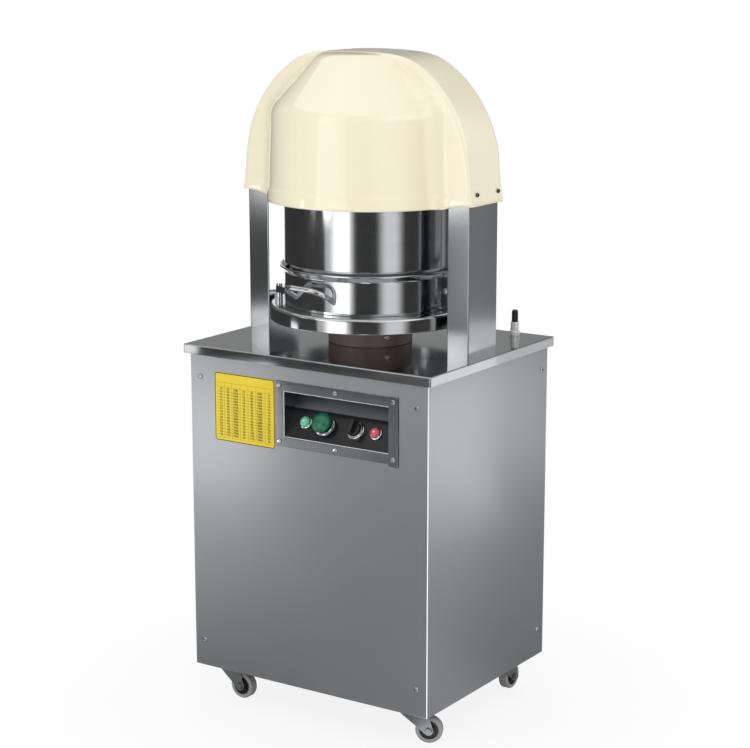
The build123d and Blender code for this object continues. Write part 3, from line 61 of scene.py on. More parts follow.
class Wire:
    """A shader socket that can stand in a Python sum; each sum adds a Math node."""

    def __init__(self, tree, socket):
        self.tree = tree
        self.socket = socket

    def node(self, kind, settings=None, inputs=None, output=0):
        """Adds a node, sets its settings and then its sockets, and gives one of its outputs."""
        made = self.tree.nodes.new("ShaderNode" + kind)
        for name, value in (settings or {}).items():
            setattr(made, name, value)
        for key, value in (inputs or {}).items():
            if isinstance(value, Wire):
                self.tree.links.new(value.socket, made.inputs[key])
            else:
                made.inputs[key].default_value = value
        return Wire(self.tree, made.outputs[output] if made.outputs else None)

    def sum(self, operation, first, second):
        return self.node("Math", {"operation": operation}, {0: first, 1: second})

    def __add__(self, other):
        return self.sum("ADD", self, other)

    def __radd__(self, other):
        return self.sum("ADD", other, self)

    def __sub__(self, other):
        return self.sum("SUBTRACT", self, other)

    def __rsub__(self, other):
        return self.sum("SUBTRACT", other, self)

    def __mul__(self, other):
        return self.sum("MULTIPLY", self, other)

    def __rmul__(self, other):
        return self.sum("MULTIPLY", other, self)

    def __abs__(self):
        return self.sum("ABSOLUTE", self, 0)


def begin(name):
    """A new finish, and the wire of the place on the machine in metres."""
    finish = bpy.data.materials.new(name)
    finish.use_nodes = True
    tree = finish.node_tree
    return finish, Wire(tree, tree.nodes.new("ShaderNodeTexCoord").outputs["Object"])


def feed(finish, sockets):
    """Sets the shader's sockets: a wire is linked, and a plain value stays on its socket."""
    shader = finish.node_tree.nodes["Principled BSDF"]
    for name, value in sockets.items():
        if isinstance(value, Wire):
            finish.node_tree.links.new(value.socket, shader.inputs[name])
        else:
            shader.inputs[name].default_value = value
    return finish


def shade(red, green, blue):
    """A display colour, 0 to 255, as the linear colour that a shader takes."""
    return tuple((((part / 255) + 0.055) / 1.055) ** 2.4 for part in (red, green, blue)) + (1.0,)


def grain(place, scale, detail=3.0, stretch=(1, 1, 1)):
    """Noise from 0 to 1 with so many lumps to the metre, closer along the stretched axes."""
    spread = tuple(scale * part for part in stretch)
    spot = place.node("VectorMath", {"operation": "MULTIPLY"}, {0: place, 1: spread})
    return place.node("TexNoise", {}, {"Vector": spot, "Scale": 1.0, "Detail": detail})


def between(mask, dark, light):
    """A colour between two others, by a mask from 0 to 1."""
    return mask.node("Mix", {"data_type": "RGBA"}, {0: mask, 6: dark, 7: light}, 2)


def relief(height, depth, strength=1.0):
    """Small relief of a depth in metres, as a normal."""
    return height.node("Bump", {}, {"Strength": strength, "Distance": depth, "Height": height})


def mottled(name, dark, light, scale, rough, depth, steady=None):
    """A finish with soft lumps of colour and fine relief; rough is its least and greatest roughness."""
    finish, place = begin(name)
    lumps = grain(place, scale)
    specks = grain(place, 9 * scale, 5.0)
    gloss = rough[0] + (rough[1] - rough[0]) * specks
    sockets = {"Base Color": between(lumps, dark, light), "Roughness": gloss, "Normal": relief(specks, depth)}
    return feed(finish, {**sockets, **(steady or {})})


def dress(finish, *nodes):
    """Gives solids of the frame their finish."""
    for node in nodes:
        materials = frame["nodes"][node].data.materials
        materials.clear()
        materials.append(finish)


primer = mottled("grey_primer", shade(96, 100, 104), shade(112, 116, 120), 30, (0.5, 0.65), 0.00004)
dress(primer, "cabinet_frame")

# Drive inside the cabinet
# A finned motor turns the lead screw by a belt on the steel deck; a bronze nut in the lower yoke
# climbs the screw. The control gear sits in a grey box, and two switches stop the travel.
metal = {"Metallic": 1.0}
deck_steel = mottled(
    "deck_steel", shade(120, 122, 124), shade(150, 151, 152), 18, (0.38, 0.5), 0.00003, metal
)
machined = mottled(
    "machined_steel", shade(170, 171, 172), shade(190, 191, 192), 25, (0.22, 0.32), 0.00001, metal
)
bronze = mottled(
    "cast_bronze", shade(150, 110, 58), shade(176, 134, 76), 22, (0.3, 0.42), 0.00003, metal
)
bearing_iron = mottled("bearing_iron", shade(58, 64, 70), shade(74, 80, 86), 26, (0.45, 0.6), 0.00006)
motor_paint = mottled("motor_paint", shade(52, 78, 104), shade(62, 90, 118), 14, (0.35, 0.5), 0.00003)
belt_rubber = mottled("belt_rubber", shade(24, 24, 25), shade(36, 36, 36), 60, (0.7, 0.85), 0.00005)
gear_box = mottled("gear_box_grey", shade(176, 178, 176), shade(192, 194, 192), 12, (0.4, 0.5), 0.00003)
switch_black = mottled("switch_black", shade(28, 29, 31), shade(40, 41, 43), 50, (0.4, 0.55), 0.00003)
dress(deck_steel, "drive_deck")
dress(machined, "lead_screw", "screw_pulley", "motor_pulley", "motor_shaft", "lift_rods")
dress(bronze, "lead_nut", "guide_blocks")
dress(bearing_iron, "screw_bearings", "lower_yoke")
dress(motor_paint, "motor_body")
dress(belt_rubber, "drive_belt")
dress(gear_box, "electrical_box")
dress(switch_black, "limit_switches")

# Front panel
# One bent sheet of stainless steel, ground along its width, with an opening for the control box.
# Four screws hold it to the posts.


def ramp(value, low, high, start, end):
    """A smooth rise from start to end while a value goes from low to high."""
    limits = {"Value": value, "From Min": low, "From Max": high, "To Min": start, "To Max": end}
    return value.node("MapRange", {"interpolation_type": "SMOOTHSTEP"}, limits)


scratch_along = 9
scratch_across = 1500
fold_start = 0.0018
fold_end = 0.0012
fold_polish = 0.75
fold_painted_highlight = (0.85, 0.86, 0.88, 1.0)


def brushed(name, dark, light, rough, along, corner=None):
    """Sheet steel ground along some axes, in fine lines and broad clouds; at a folded corner it is glossier
    and its colour is lifted to a painted highlight.
    """
    finish, place = begin(name)
    pitches = tuple(scratch_along if letter in along else scratch_across for letter in "xyz")
    lines = grain(place, 1.0, 4.0, pitches)
    clouds = grain(place, 3.2, 2.0)
    patches = 0.6 * clouds + 0.4 * lines
    gloss = rough[0] + (rough[1] - rough[0]) * patches
    colour = between(patches, dark, light)
    # At the folded corner the colour is mixed towards a painted highlight, and the roughness is lowered.
    if corner:
        sides = (abs(place.node("SeparateXYZ", {}, {0: place}, part)) for part in "XY")
        near_x, near_y = (
            ramp(side, out - fold_start, out - fold_end, 0.0, 1.0) for side, out in zip(sides, corner)
        )
        gloss = gloss * (1 - fold_polish * near_x * near_y)
        colour = between(near_x * near_y, colour, fold_painted_highlight)
    smear, turn = (0.2, 0.0) if along == "z" else (0.7, 0.25)
    sockets = {"Base Color": colour, "Roughness": gloss, "Normal": relief(lines, 0.000006)}
    return feed(finish, {**sockets, "Anisotropic": smear, "Anisotropic Rotation": turn, **metal})


def eased(corners, closed=False, steps=5):
    """A run of lines through corners (x, y, radius), each corner rounded by its radius."""
    points = []
    for index, (x, y, radius) in enumerate(corners):
        here = Vector((x, y))
        if radius == 0 or (not closed and index in (0, len(corners) - 1)):
            points.append(here)
            continue
        before = (Vector(corners[index - 1][:2]) - here).normalized()
        after = (Vector(corners[(index + 1) % len(corners)][:2]) - here).normalized()
        half = before.angle(after) / 2
        middle = here + (before + after).normalized() * (radius / math.sin(half))
        start = here + before * (radius / math.tan(half)) - middle
        end = here + after * (radius / math.tan(half)) - middle
        first = math.atan2(start.y, start.x)
        sweep = math.atan2(start.cross(end), start.dot(end))
        turns = [first + sweep * step / steps for step in range(steps + 1)]
        points += [middle + radius * Vector((math.cos(turn), math.sin(turn))) for turn in turns]
    return points


def skin(bm, rows, matrix, ring=True, closed=False):
    """Faces between rows of points, each row a ring unless told; closed joins the last row to the first."""
    made = []
    for row in rows:
        spots = [matrix @ Vector(point) for point in row]
        single = all((spot - spots[0]).length < 1e-7 for spot in spots)
        made.append([bm.verts.new(spots[0])] * len(row) if single else [bm.verts.new(spot) for spot in spots])
    for lower, upper in zip(made, made[1:] + (made[:1] if closed else [])):
        for index in range(len(lower) if ring else len(lower) - 1):
            follow = (index + 1) % len(lower)
            corners = list(dict.fromkeys((lower[index], lower[follow], upper[follow], upper[index])))
            if len(corners) > 2:
                bm.faces.new(corners)
    return made


def cap(bm, outer, *holes):
    """Closes a flat face inside a ring of points, leaving the holes open."""
    edges = []
    for ring in (outer, *holes):
        for first, second in zip(ring, ring[1:] + ring[:1]):
            edges.append(bm.edges.get((first, second)) or bm.edges.new((first, second)))
    if holes:
        bmesh.ops.triangle_fill(bm, edges=edges, use_beauty=True)
    else:
        bm.faces.new(outer)


def rectangle(area, grow, height):
    """A rectangle (low x, low y, high x, high y, corner radius), grown all round and set at a height."""
    left, low, right, high, corner = area
    radius = max(corner + grow, 0.0001)
    corners = [
        (left - grow, low - grow, radius),
        (right + grow, low - grow, radius),
        (right + grow, high + grow, radius),
        (left - grow, high + grow, radius),
    ]
    return [(x, y, height) for x, y in eased(corners, closed=True)]


def rounding(area, front, edge, inward=1, steps=4):
    """Rings that turn a rectangle's face over its rounded edge, or into a hole where inward is -1."""
    turns = [math.radians(90 * step / steps) for step in range(steps + 1)]
    return [
        rectangle(area, -inward * edge * (1 - math.sin(turn)), front - edge * (1 - math.cos(turn)))
        for turn in turns
    ]


def plate(bm, matrix, area, back, front, edge, hole=None, steps=4):
    """A sheet from back to front whose face has a rounded edge, with a rounded hole if one is given."""
    outside = [*rounding(area, front, edge, 1, steps), rectangle(area, 0, back)]
    if hole:
        inside = [*rounding(hole, front, edge, -1), rectangle(hole, 0, back)]
        skin(bm, [*reversed(inside), *outside], matrix, closed=True)
    else:
        rings = skin(bm, outside, matrix)
        cap(bm, rings[0])
        cap(bm, rings[-1])


def piece(name, bm, finish, body, nodes=(), sharp=38):
    """Makes the shaped piece an object of the machine: shaded, finished, riding on its body."""
    bmesh.ops.recalc_face_normals(bm, faces=bm.faces)
    mesh = bpy.data.meshes.new(name)
    bm.to_mesh(mesh)
    bm.free()
    mesh.polygons.foreach_set("use_smooth", [True] * len(mesh.polygons))
    mesh.set_sharp_from_angle(angle=math.radians(sharp))
    mesh.materials.append(finish)
    made = bpy.data.objects.new(name, mesh)
    bpy.context.scene.collection.objects.link(made)
    made.modifiers.new("even_normals", "WEIGHTED_NORMAL").keep_sharp = True
    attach(made, body)
    if nodes:
        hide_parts(*nodes)
    return made


front = Matrix.Rotation(math.radians(90), 4, "X")
fold_corner = 0.0015
panel_chamfer = 0.0014
panel_low, panel_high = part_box("front_panel")
box_low, box_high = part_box("control_box")
lap = 0.017
panel_area = (panel_low.x, panel_low.z, panel_high.x, panel_high.z, fold_corner)
opening = (box_low.x + lap, box_low.z + lap, box_high.x - lap, box_high.z - lap, fold_corner)
cabinet_fold = (panel_high.x, -panel_low.y)
cabinet_steel = brushed(
    "cabinet_steel", shade(161, 164, 168), shade(178, 180, 183), (0.36, 0.46), "xy", cabinet_fold
)
shape = bmesh.new()
plate(shape, front, panel_area, -panel_high.y, -panel_low.y, panel_chamfer, opening, steps=1)
piece("front_panel_sheet", shape, cabinet_steel, "base", ["front_panel"])

# Side and rear panels
# Sheets of the same ground steel, folded at their edges and screwed to the posts. The rear one
# has vent slots near its top and a grommet for the supply lead.
right = Matrix.Rotation(math.radians(90), 4, "Z") @ front
left = Matrix.Rotation(math.radians(-90), 4, "Z") @ front
side_sheet = 0.0015
side_edge = 0.0002
side_low, side_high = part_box("side_panels")
side_area = (side_low.y, side_low.z, side_high.y, side_high.z, fold_corner)
shape = bmesh.new()
for facing in (left, right):
    plate(shape, facing, side_area, side_high.x - side_sheet, side_high.x, side_edge)
piece("side_panel_sheets", shape, cabinet_steel, "base", ["side_panels"])
dress(cabinet_steel, "rear_panel")
grommet_rubber = mottled("grommet_rubber", shade(22, 22, 23), shade(34, 34, 35), 80, (0.6, 0.75), 0.00004)
dress(grommet_rubber, "cable_grommet")

# Panel screws
# Bright machine screws with a low domed head and a hexagon socket, four to each panel at its
# corners, two on each side panel near the back.


def screw_head(bm, matrix, size, height, shank):
    """A domed head with a hexagon socket on a short shank, standing along the local Z axis."""
    radius = size / 2
    neck = 0.35 * radius
    socket = 0.30 * size
    brim = 1.25 * socket
    shoulder = 0.7 * height
    socket_floor = 0.3 * height
    steps = 48
    turns = [math.radians(360 * step / steps) for step in range(steps)]
    dome = eased([(radius, 0, 0), (radius, height, shoulder), (brim, height, 0)])
    profile = [(neck, -shank), (neck, 0), *dome]
    rows = [[(r * math.cos(t), r * math.sin(t), z) for t in turns] for r, z in profile]
    wedge = math.radians(60)
    for depth in (height, socket_floor):
        flats = [socket / math.cos((t + wedge / 2) % wedge - wedge / 2) for t in turns]
        rows.append([(r * math.cos(t), r * math.sin(t), depth) for r, t in zip(flats, turns)])
    rings = skin(bm, rows, matrix)
    cap(bm, rings[0])
    cap(bm, rings[-1])


panel_head = 0.0104
panel_head_height = 0.0032
panel_shank = 0.004
screw_inset = 0.024
side_screw_inset = 0.0225
screw_rise = 0.054
screw_drop = 0.045
screw_x = panel_high.x - screw_inset
screw_y = side_high.y - side_screw_inset
screw_levels = (panel_low.z + screw_rise, panel_high.z - screw_drop)
rear = Matrix.Rotation(math.radians(180), 4, "Z") @ front
screw_zinc = mottled(
    "screw_zinc", shade(200, 202, 204), shade(220, 221, 222), 300, (0.1, 0.2), 0.00001, metal
)
shape = bmesh.new()
for level in screw_levels:
    for side in (-1, 1):
        for facing, along, out in (
            (front, side * screw_x, -panel_low.y),
            (rear, side * screw_x, -panel_low.y),
            (right if side > 0 else left, side * screw_y, side_high.x),
        ):
            spot = facing @ Matrix.Translation((along, level, out))
            screw_head(shape, spot, panel_head, panel_head_height, panel_shank)
piece("panel_screw_heads", shape, screw_zinc, "base", ["panel_screws"])

# Casters
# Four swivel casters of pressed zinc-plated steel: a plate with its ball race, a fork and an axle.
# Each wheel is a grey rubber tyre moulded round a black core that runs on the axle.


def turned(bm, profile, matrix, segments=96, closed=False, start=0.0, sweep=360.0):
    """Turns a profile of (radius, height) about the local Z axis, wholly or from a start angle."""
    whole = sweep == 360.0
    stops = segments if whole else segments + 1
    turns = [math.radians(start + sweep * step / segments) for step in range(stops)]
    rows = [[(r * math.cos(t), r * math.sin(t), z) for t in turns] for r, z in profile]
    rings = skin(bm, rows, matrix, ring=whole, closed=closed)
    if not whole:
        cap(bm, [ring[0] for ring in rings])
        cap(bm, [ring[-1] for ring in rings])


def slab(bm, outline, matrix, low, high, edge, steps=3):
    """A plate with a convex outline, from low to high along the local Z axis, its edges rounded over."""
    ring = [Vector(point) for point in outline]
    neighbours = zip(ring[-1:] + ring[:-1], ring[1:] + ring[:1])
    ways = [(after - before).normalized() for before, after in neighbours]
    turns = [math.radians(90 * step / steps) for step in range(steps + 1)]
    rounds = [(edge * (1 - math.sin(t)), low + edge * (1 - math.cos(t))) for t in turns]
    rounds += [(step, high + low - level) for step, level in reversed(rounds)]
    rows = [
        [(spot.x - step * way.y, spot.y + step * way.x, level) for spot, way in zip(ring, ways)]
        for step, level in rounds
    ]
    rings = skin(bm, rows, matrix)
    cap(bm, rings[0])
    cap(bm, rings[-1])


caster_zinc = mottled(
    "caster_zinc", shade(140, 142, 144), shade(164, 165, 166), 90, (0.2, 0.36), 0.00003, metal
)
tyre_rubber = mottled("tyre_rubber", shade(138, 138, 138), shade(164, 164, 162), 55, (0.45, 0.62), 0.00008)
core_black = mottled("core_black", shade(20, 20, 21), shade(34, 34, 35), 120, (0.35, 0.5), 0.00004)
tyre_radius = 0.0265
tyre_half = 0.010
tyre_round = 0.0042
tyre_bead = 0.0015
tyre_dish = 0.001
core_radius = 0.0185
core_web_half = 0.0065
core_rim = 0.0015
core_half = 0.0088
core_fit = 0.0001
hub_radius = 0.012
hub_half = 0.0115
axle_radius = 0.004
axle_bore = 0.0041
crown_low = 0.0601
crown_top = 0.0656
crown_back = -0.034
crown_front = 0.018
crown_fold = 0.004
crown_edge = 0.0016
race_radius = 0.023
race_edge = 0.0012
pin_radius = 0.005
pin_top = 0.0735
trail = 0.020
skirt_inner = 0.012
skirt_outer = 0.0145
skirt_foot = 0.0175
skirt_fold = 0.003
skirt_edge = 0.0009
eye_radius = 0.009
eye_back = 0.01675
eye_front = 0.03199
nut_radius = 0.007
nut_height = 0.005
nut_edge = 0.0008
skirt = eased(
    [
        (crown_back, crown_top, crown_fold),
        (crown_back, crown_low, skirt_fold),
        (eye_back, skirt_foot, eye_radius),
        (eye_front, skirt_foot, eye_radius),
        (crown_front, crown_top, skirt_fold),
    ],
    closed=True,
    steps=12,
)
web = eased(
    [
        (crown_back, -skirt_outer, crown_fold),
        (crown_front, -skirt_outer, crown_fold),
        (crown_front, skirt_outer, crown_fold),
        (crown_back, skirt_outer, crown_fold),
    ],
    closed=True,
)
nut_turns = [math.radians(turn) for turn in range(0, 360, 60)]
hexagon = [
    (trail + nut_radius * math.cos(turn), tyre_radius + nut_radius * math.sin(turn)) for turn in nut_turns
]
king_pin = [(0, crown_low), (pin_radius, crown_low), (pin_radius, pin_top), (0, pin_top)]
axle_pin = [(0, -skirt_outer), (axle_radius, -skirt_outer), (axle_radius, skirt_outer), (0, skirt_outer)]
race = eased(
    [
        (0, crown_low, 0),
        (race_radius, crown_low, race_edge),
        (race_radius, crown_top, race_edge),
        (0, crown_top, 0),
    ]
)
tyre = eased(
    [
        (core_radius, -tyre_half + tyre_dish, 0.0004),
        (core_radius + tyre_bead, -tyre_half, 0.0006),
        (tyre_radius, -tyre_half, tyre_round),
        (tyre_radius, tyre_half, tyre_round),
        (core_radius + tyre_bead, tyre_half, 0.0006),
        (core_radius, tyre_half - tyre_dish, 0.0004),
    ],
    closed=True,
)
core = eased(
    [
        (axle_bore, -hub_half, 0.0003),
        (hub_radius, -hub_half, 0.0012),
        (hub_radius, -core_web_half, 0.001),
        (core_radius - core_rim, -core_web_half, 0.001),
        (core_radius - core_rim, -core_half, 0.0003),
        (core_radius + core_fit, -core_half, 0.0003),
        (core_radius + core_fit, core_half, 0.0003),
        (core_radius - core_rim, core_half, 0.0003),
        (core_radius - core_rim, core_web_half, 0.001),
        (hub_radius, core_web_half, 0.001),
        (hub_radius, hub_half, 0.0012),
        (axle_bore, hub_half, 0.0003),
    ],
    closed=True,
)
dress(caster_zinc, "caster_plates")
joints = {joint["name"]: joint for joint in frame["joints"]}
for foot in ("front_left", "front_right", "rear_left", "rear_right"):
    across = Vector(joints[f"wheel_{foot}"]["axis"])
    swivel_x, swivel_y, _ = joints[f"swivel_{foot}"]["pos_m"]
    fork = Matrix(
        (
            (-across.y, 0, across.x, swivel_x),
            (across.x, 0, across.y, swivel_y),
            (0, 1, 0, 0),
            (0, 0, 0, 1),
        )
    )
    swivel_turn = Matrix.Rotation(math.atan2(across.x, -across.y), 4, "Z")
    swivel = Matrix.Translation((swivel_x, swivel_y, 0)) @ swivel_turn
    axle = fork @ Matrix.Translation((trail, tyre_radius, 0))
    shape = bmesh.new()
    slab(shape, skirt, fork, skirt_inner, skirt_outer, skirt_edge)
    slab(shape, skirt, fork, -skirt_outer, -skirt_inner, skirt_edge)
    slab(shape, web, swivel, crown_low, crown_top, crown_edge)
    turned(shape, race, swivel, 64)
    turned(shape, king_pin, swivel, 32)
    slab(shape, hexagon, fork, skirt_outer, skirt_outer + nut_height, nut_edge)
    slab(shape, hexagon, fork, -skirt_outer - nut_height, -skirt_outer, nut_edge)
    turned(shape, axle_pin, axle, 32)
    piece(f"fork_{foot}", shape, caster_zinc, f"swivel_{foot}", [f"caster_fork_{foot}"])
    shape = bmesh.new()
    turned(shape, tyre, axle, closed=True)
    piece(f"tyre_{foot}", shape, tyre_rubber, f"wheel_{foot}", [f"caster_wheel_{foot}"])
    shape = bmesh.new()
    turned(shape, core, axle, closed=True)
    piece(f"wheel_core_{foot}", shape, core_black, f"wheel_{foot}")

# Table
# A tray of polished stainless sheet folded down all round and ground at its corners. It lies on the
# frame's bars, with holes for the two lift rods and for the setting knob's spindle.


def polished(name, dark, light, rough, depth=0.00001):
    """Mirror-polished steel: faint wiping marks in its gloss and a slow waviness of the sheet."""
    finish, place = begin(name)
    wipes = grain(place, 14.0, 4.0, (1, 1, 5))
    waves = grain(place, 5.0, 1.0)
    gloss = rough[0] + (rough[1] - rough[0]) * wipes
    sockets = {"Base Color": between(wipes, dark, light), "Roughness": gloss, "Normal": relief(waves, depth)}
    return feed(finish, {**sockets, **metal})


table_sheet = 0.0025
table_fold = 0.0022
table_corner = 0.003
rod_hole = 0.015
spindle_hole = 0.0041
column_inner = 0.208
table_low, table_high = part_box("table_top")
column_low, column_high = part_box("columns")
rod_x = (column_high.x + column_inner) / 2
collar_low, collar_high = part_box("knob_collar")
knob_axis = (collar_low + collar_high) / 2
table_steel = polished("table_steel", shade(170, 172, 174), shade(186, 187, 188), (0.08, 0.16), 0.00004)
table_area = (table_low.x, table_low.y, table_high.x, table_high.y, table_corner)
upright = Matrix.Identity(4)
shape = bmesh.new()
outside = [*rounding(table_area, table_high.z, table_fold), rectangle(table_area, 0, table_low.z)]
inside = [rectangle(table_area, -table_sheet, level) for level in (table_low.z, table_high.z - table_sheet)]
rings = skin(shape, [*outside, *inside], upright)
tops, undersides = [], []
for x, y, radius in ((rod_x, 0, rod_hole), (-rod_x, 0, rod_hole), (knob_axis.x, knob_axis.y, spindle_hole)):
    turns = [math.radians(10 * step) for step in range(36)]
    rows = [
        [(x + radius * math.cos(t), y + radius * math.sin(t), level) for t in turns]
        for level in (table_high.z, table_high.z - table_sheet)
    ]
    top, underside = skin(shape, rows, upright)
    tops.append(top)
    undersides.append(underside)
cap(shape, rings[0], *tops)
cap(shape, rings[-1], *undersides)
piece("table_tray", shape, table_steel, "base", ["table_top"])

# Weight chart
# A thin enamelled plate in yellow, printed in dark ink with a border, ruled lines and columns of
# plain numbers. It is glued to the front panel beside the controls.
chart_low, chart_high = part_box("weight_chart")
chart_corner = 0.006
chart_edge = 0.0004
chart_area = (chart_low.x, chart_low.z, chart_high.x, chart_high.z, chart_corner)
chart_yellow = mottled("chart_yellow", shade(216, 190, 8), shade(230, 204, 22), 16, (0.3, 0.42), 0.00001)
chart_ink = mottled("chart_ink", shade(26, 22, 8), shade(40, 35, 13), 200, (0.4, 0.5), 0.00001)
ink = 0.00006
ink_edge = 0.00002
chart_face = -chart_low.y
border_inset = 0.0006
border_line = 0.0016
shape = bmesh.new()
plate(shape, front, chart_area, -chart_high.y, chart_face, chart_edge)
piece("weight_chart_plate", shape, chart_yellow, "base", ["weight_chart"])


def inset(area, step):
    """The same rectangle, drawn in by a step."""
    left, low, right, high, corner = area
    return (left + step, low + step, right - step, high - step, corner - step)


chart_rows = 17
chart_columns = (0.010, 0.027, 0.045, 0.065, 0.084, 0.103, 0.125)
first_row = 0.034
row_pitch = 0.0057
rule = 0.00035
rule_under_row = 0.62
rule_left_of_column = 0.009
title_height = 0.0195
heads_height = 0.0285
print_margin = 0.0055
figure_size = 0.0062
figure_weight = 0.00012
print_left = chart_low.x + print_margin
print_right = chart_high.x - print_margin
border = inset(chart_area, border_inset)
shape = bmesh.new()
plate(shape, front, border, chart_face, chart_face + ink, ink_edge, inset(border, border_line))
rule_levels = [chart_high.z - title_height, chart_high.z - heads_height]
rule_levels += [chart_high.z - first_row - row_pitch * (row + rule_under_row) for row in range(chart_rows)]
rules = [(print_left, level - rule / 2, print_right, level + rule / 2, 0) for level in rule_levels]
for column in chart_columns[1:]:
    x = print_left + column - rule_left_of_column
    rules.append((x - rule / 2, rule_levels[-1], x + rule / 2, rule_levels[0], 0))
for area in rules:
    plate(shape, front, area, chart_face, chart_face + ink, ink_edge)
piece("weight_chart_rules", shape, chart_ink, "base")

cells = 36
first_setting = 10
first_grams = 30
gram_step = 5
settings = [first_setting + row for row in range(chart_rows)]
grams = [first_grams + gram_step * row for row in range(chart_rows)]
batches = [cells * weight for weight in grams]
shape = bmesh.new()
for index, column in enumerate(chart_columns):
    lettering = bpy.data.curves.new("chart_figures", "FONT")
    figures = (settings, grams, batches)[index % 3]
    lettering.body = "\n".join(str(figure) for figure in figures)
    lettering.size = figure_size
    lettering.space_line = row_pitch / figure_size
    lettering.align_x = "CENTER"
    lettering.extrude = ink / 2
    lettering.offset = figure_weight
    lettering.resolution_u = 2
    writer = bpy.data.objects.new("chart_figures", lettering)
    figures_mesh = bpy.data.meshes.new_from_object(writer)
    spot = Matrix.Translation((print_left + column, chart_high.z - first_row, chart_face + ink))
    figures_mesh.transform(front @ spot)
    shape.from_mesh(figures_mesh)
    bpy.data.objects.remove(writer)
    bpy.data.meshes.remove(figures_mesh)
piece("weight_chart_figures", shape, chart_ink, "base")

# Control box
# A tub of polished stainless sheet let into the front panel, with a flange screwed down all round
# and a separate strip over its right-hand end. A plate slopes back from its foot to its roof, black
# below and bright bare-looking steel above, a painted sheen for the light on its upper part.
flange = 0.019
flange_corner = 0.0008
flange_area = (box_low.x, box_low.z, box_high.x, box_high.z, flange_corner)
tub_corner = 0.002
tub_area = (box_low.x + flange, box_low.z + flange, box_high.x - flange, box_high.z - flange, tub_corner)
flange_back = -panel_low.y
flange_face = -box_low.y
tub_back = -box_high.y
tub_wall = 0.0015
flange_edge = 0.0009
tub_fold = 0.0012
box_steel = polished("control_box_steel", shade(119, 122, 125), shade(137, 139, 141), (0.12, 0.2))
shape = bmesh.new()
outline = [
    *[rectangle(tub_area, tub_wall, level) for level in (flange_back, tub_back)],
    rectangle(tub_area, 0, tub_back),
    *reversed(rounding(tub_area, flange_face, tub_fold, -1)),
    *rounding(flange_area, flange_face, flange_edge),
    rectangle(flange_area, 0, flange_back),
]
skin(shape, outline, front, closed=True)
strip_sheet = 0.0008
strip_edge = 0.0006
strip_drop = 0.004
strip_lap = 0.0015
strip_rise = 0.0005
strip_area = (
    box_high.x - flange,
    box_low.z - strip_drop,
    box_high.x + strip_lap,
    box_high.z + strip_rise,
    flange_corner,
)
plate(shape, front, strip_area, flange_face, flange_face + strip_sheet, strip_edge)
piece("control_box_tub", shape, box_steel, "base", ["control_box"])
# The lip is a thin pale frame round the tub's inner edge: a painted highlight standing in for bright lines of
# light along the fold.
lip_width = 0.0011
lip_edge = 0.0003
lip_face = flange_face - tub_fold
lip_painted_highlight = mottled(
    "control_lip_bright", shade(226, 227, 228), shade(240, 240, 240), 60, (0.34, 0.42), 0.00001
)
shape = bmesh.new()
plate(shape, front, tub_area, lip_face - lip_width, lip_face, lip_edge, inset(tub_area, lip_width))
piece("control_box_lip", shape, lip_painted_highlight, "base")
plate_low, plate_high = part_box("control_plate")
sheen_share = 0.58
sheen_line = plate_low.z + sheen_share * (plate_high.z - plate_low.z)
sheen_edge = 0.0012
# The plate's upper part gets a light steel colour and is made metal: a painted sheen where light falls on it.
# Below that the plate is black.
plate_black, place = begin("control_plate_black")
plate_height = place.node("SeparateXYZ", {}, {0: place}, "Z")
painted_sheen_band = ramp(plate_height, sheen_line - sheen_edge, sheen_line + sheen_edge, 0.0, 1.0)
specks = grain(place, 180, 5.0)
plate_black_tone = between(specks, shade(18, 18, 21), shade(27, 27, 31))
sheet = between(specks, shade(148, 150, 152), shade(166, 167, 168))
plate_gloss = 0.16 + 0.1 * specks + 0.2 * painted_sheen_band
plate_sockets = {"Base Color": between(painted_sheen_band, plate_black_tone, sheet), "Metallic": painted_sheen_band, "Roughness": plate_gloss}
feed(plate_black, {**plate_sockets, "Normal": relief(specks, 0.00001)})
dress(plate_black, "control_plate")
shape = bmesh.new()
control_screw_x = (box_high.x - box_low.x - flange) / 2
control_screw_z = (box_high.z - box_low.z - flange) / 2
box_middle = (box_low + box_high) / 2
for across in (-1, 0, 1):
    for up in (-1, 1):
        spot = (box_middle.x + across * control_screw_x, box_middle.z + up * control_screw_z, flange_face)
        screw_head(shape, front @ Matrix.Translation(spot), panel_head, panel_head_height, panel_shank)
piece("control_screw_heads", shape, screw_zinc, "base", ["control_screws"])

# Lamps, start button and selector
# Chromed bezels hold a green and a red signal lamp with domed lenses, a green mushroom button that
# is pushed in, and a black selector with a raised grip that turns.
bezel_chrome = polished("bezel_chrome", shade(196, 197, 199), shade(212, 213, 214), (0.06, 0.12))
row_point = Vector(joints["selector_turn"]["pos_m"])
row_out = Vector(joints["selector_turn"]["axis"])
console = Matrix.Rotation(math.atan2(-row_out.y, row_out.z), 4, "X")


def control_axis(node):
    """The axis of a control: outwards along the local Z axis, from the sloped plate."""
    low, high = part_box(node)
    return Matrix.Translation(((low.x + high.x) / 2, row_point.y, row_point.z)) @ console


bezel_neck = 0.011
bezel_tail = -0.02
bezel_shoulder = 0.55
bezel_step = 0.62
bezel_ledge = 0.0016
bezel_crown = 0.0028


def bezel(bm, axis, size, height, bore):
    """A stepped ring round a control, with a neck behind the plate."""
    radius = size / 2
    corners = [
        (bore, bezel_tail, 0),
        (bezel_neck, bezel_tail, 0.001),
        (bezel_neck, 0, 0),
        (radius, 0, 0),
        (radius, bezel_shoulder * height, 0.0008),
        (radius - bezel_ledge, bezel_step * height, 0.0004),
        (radius - bezel_crown, height, 0.0008),
        (bore, height, 0.0006),
    ]
    turned(bm, eased(corners, closed=True), axis, 72, closed=True)


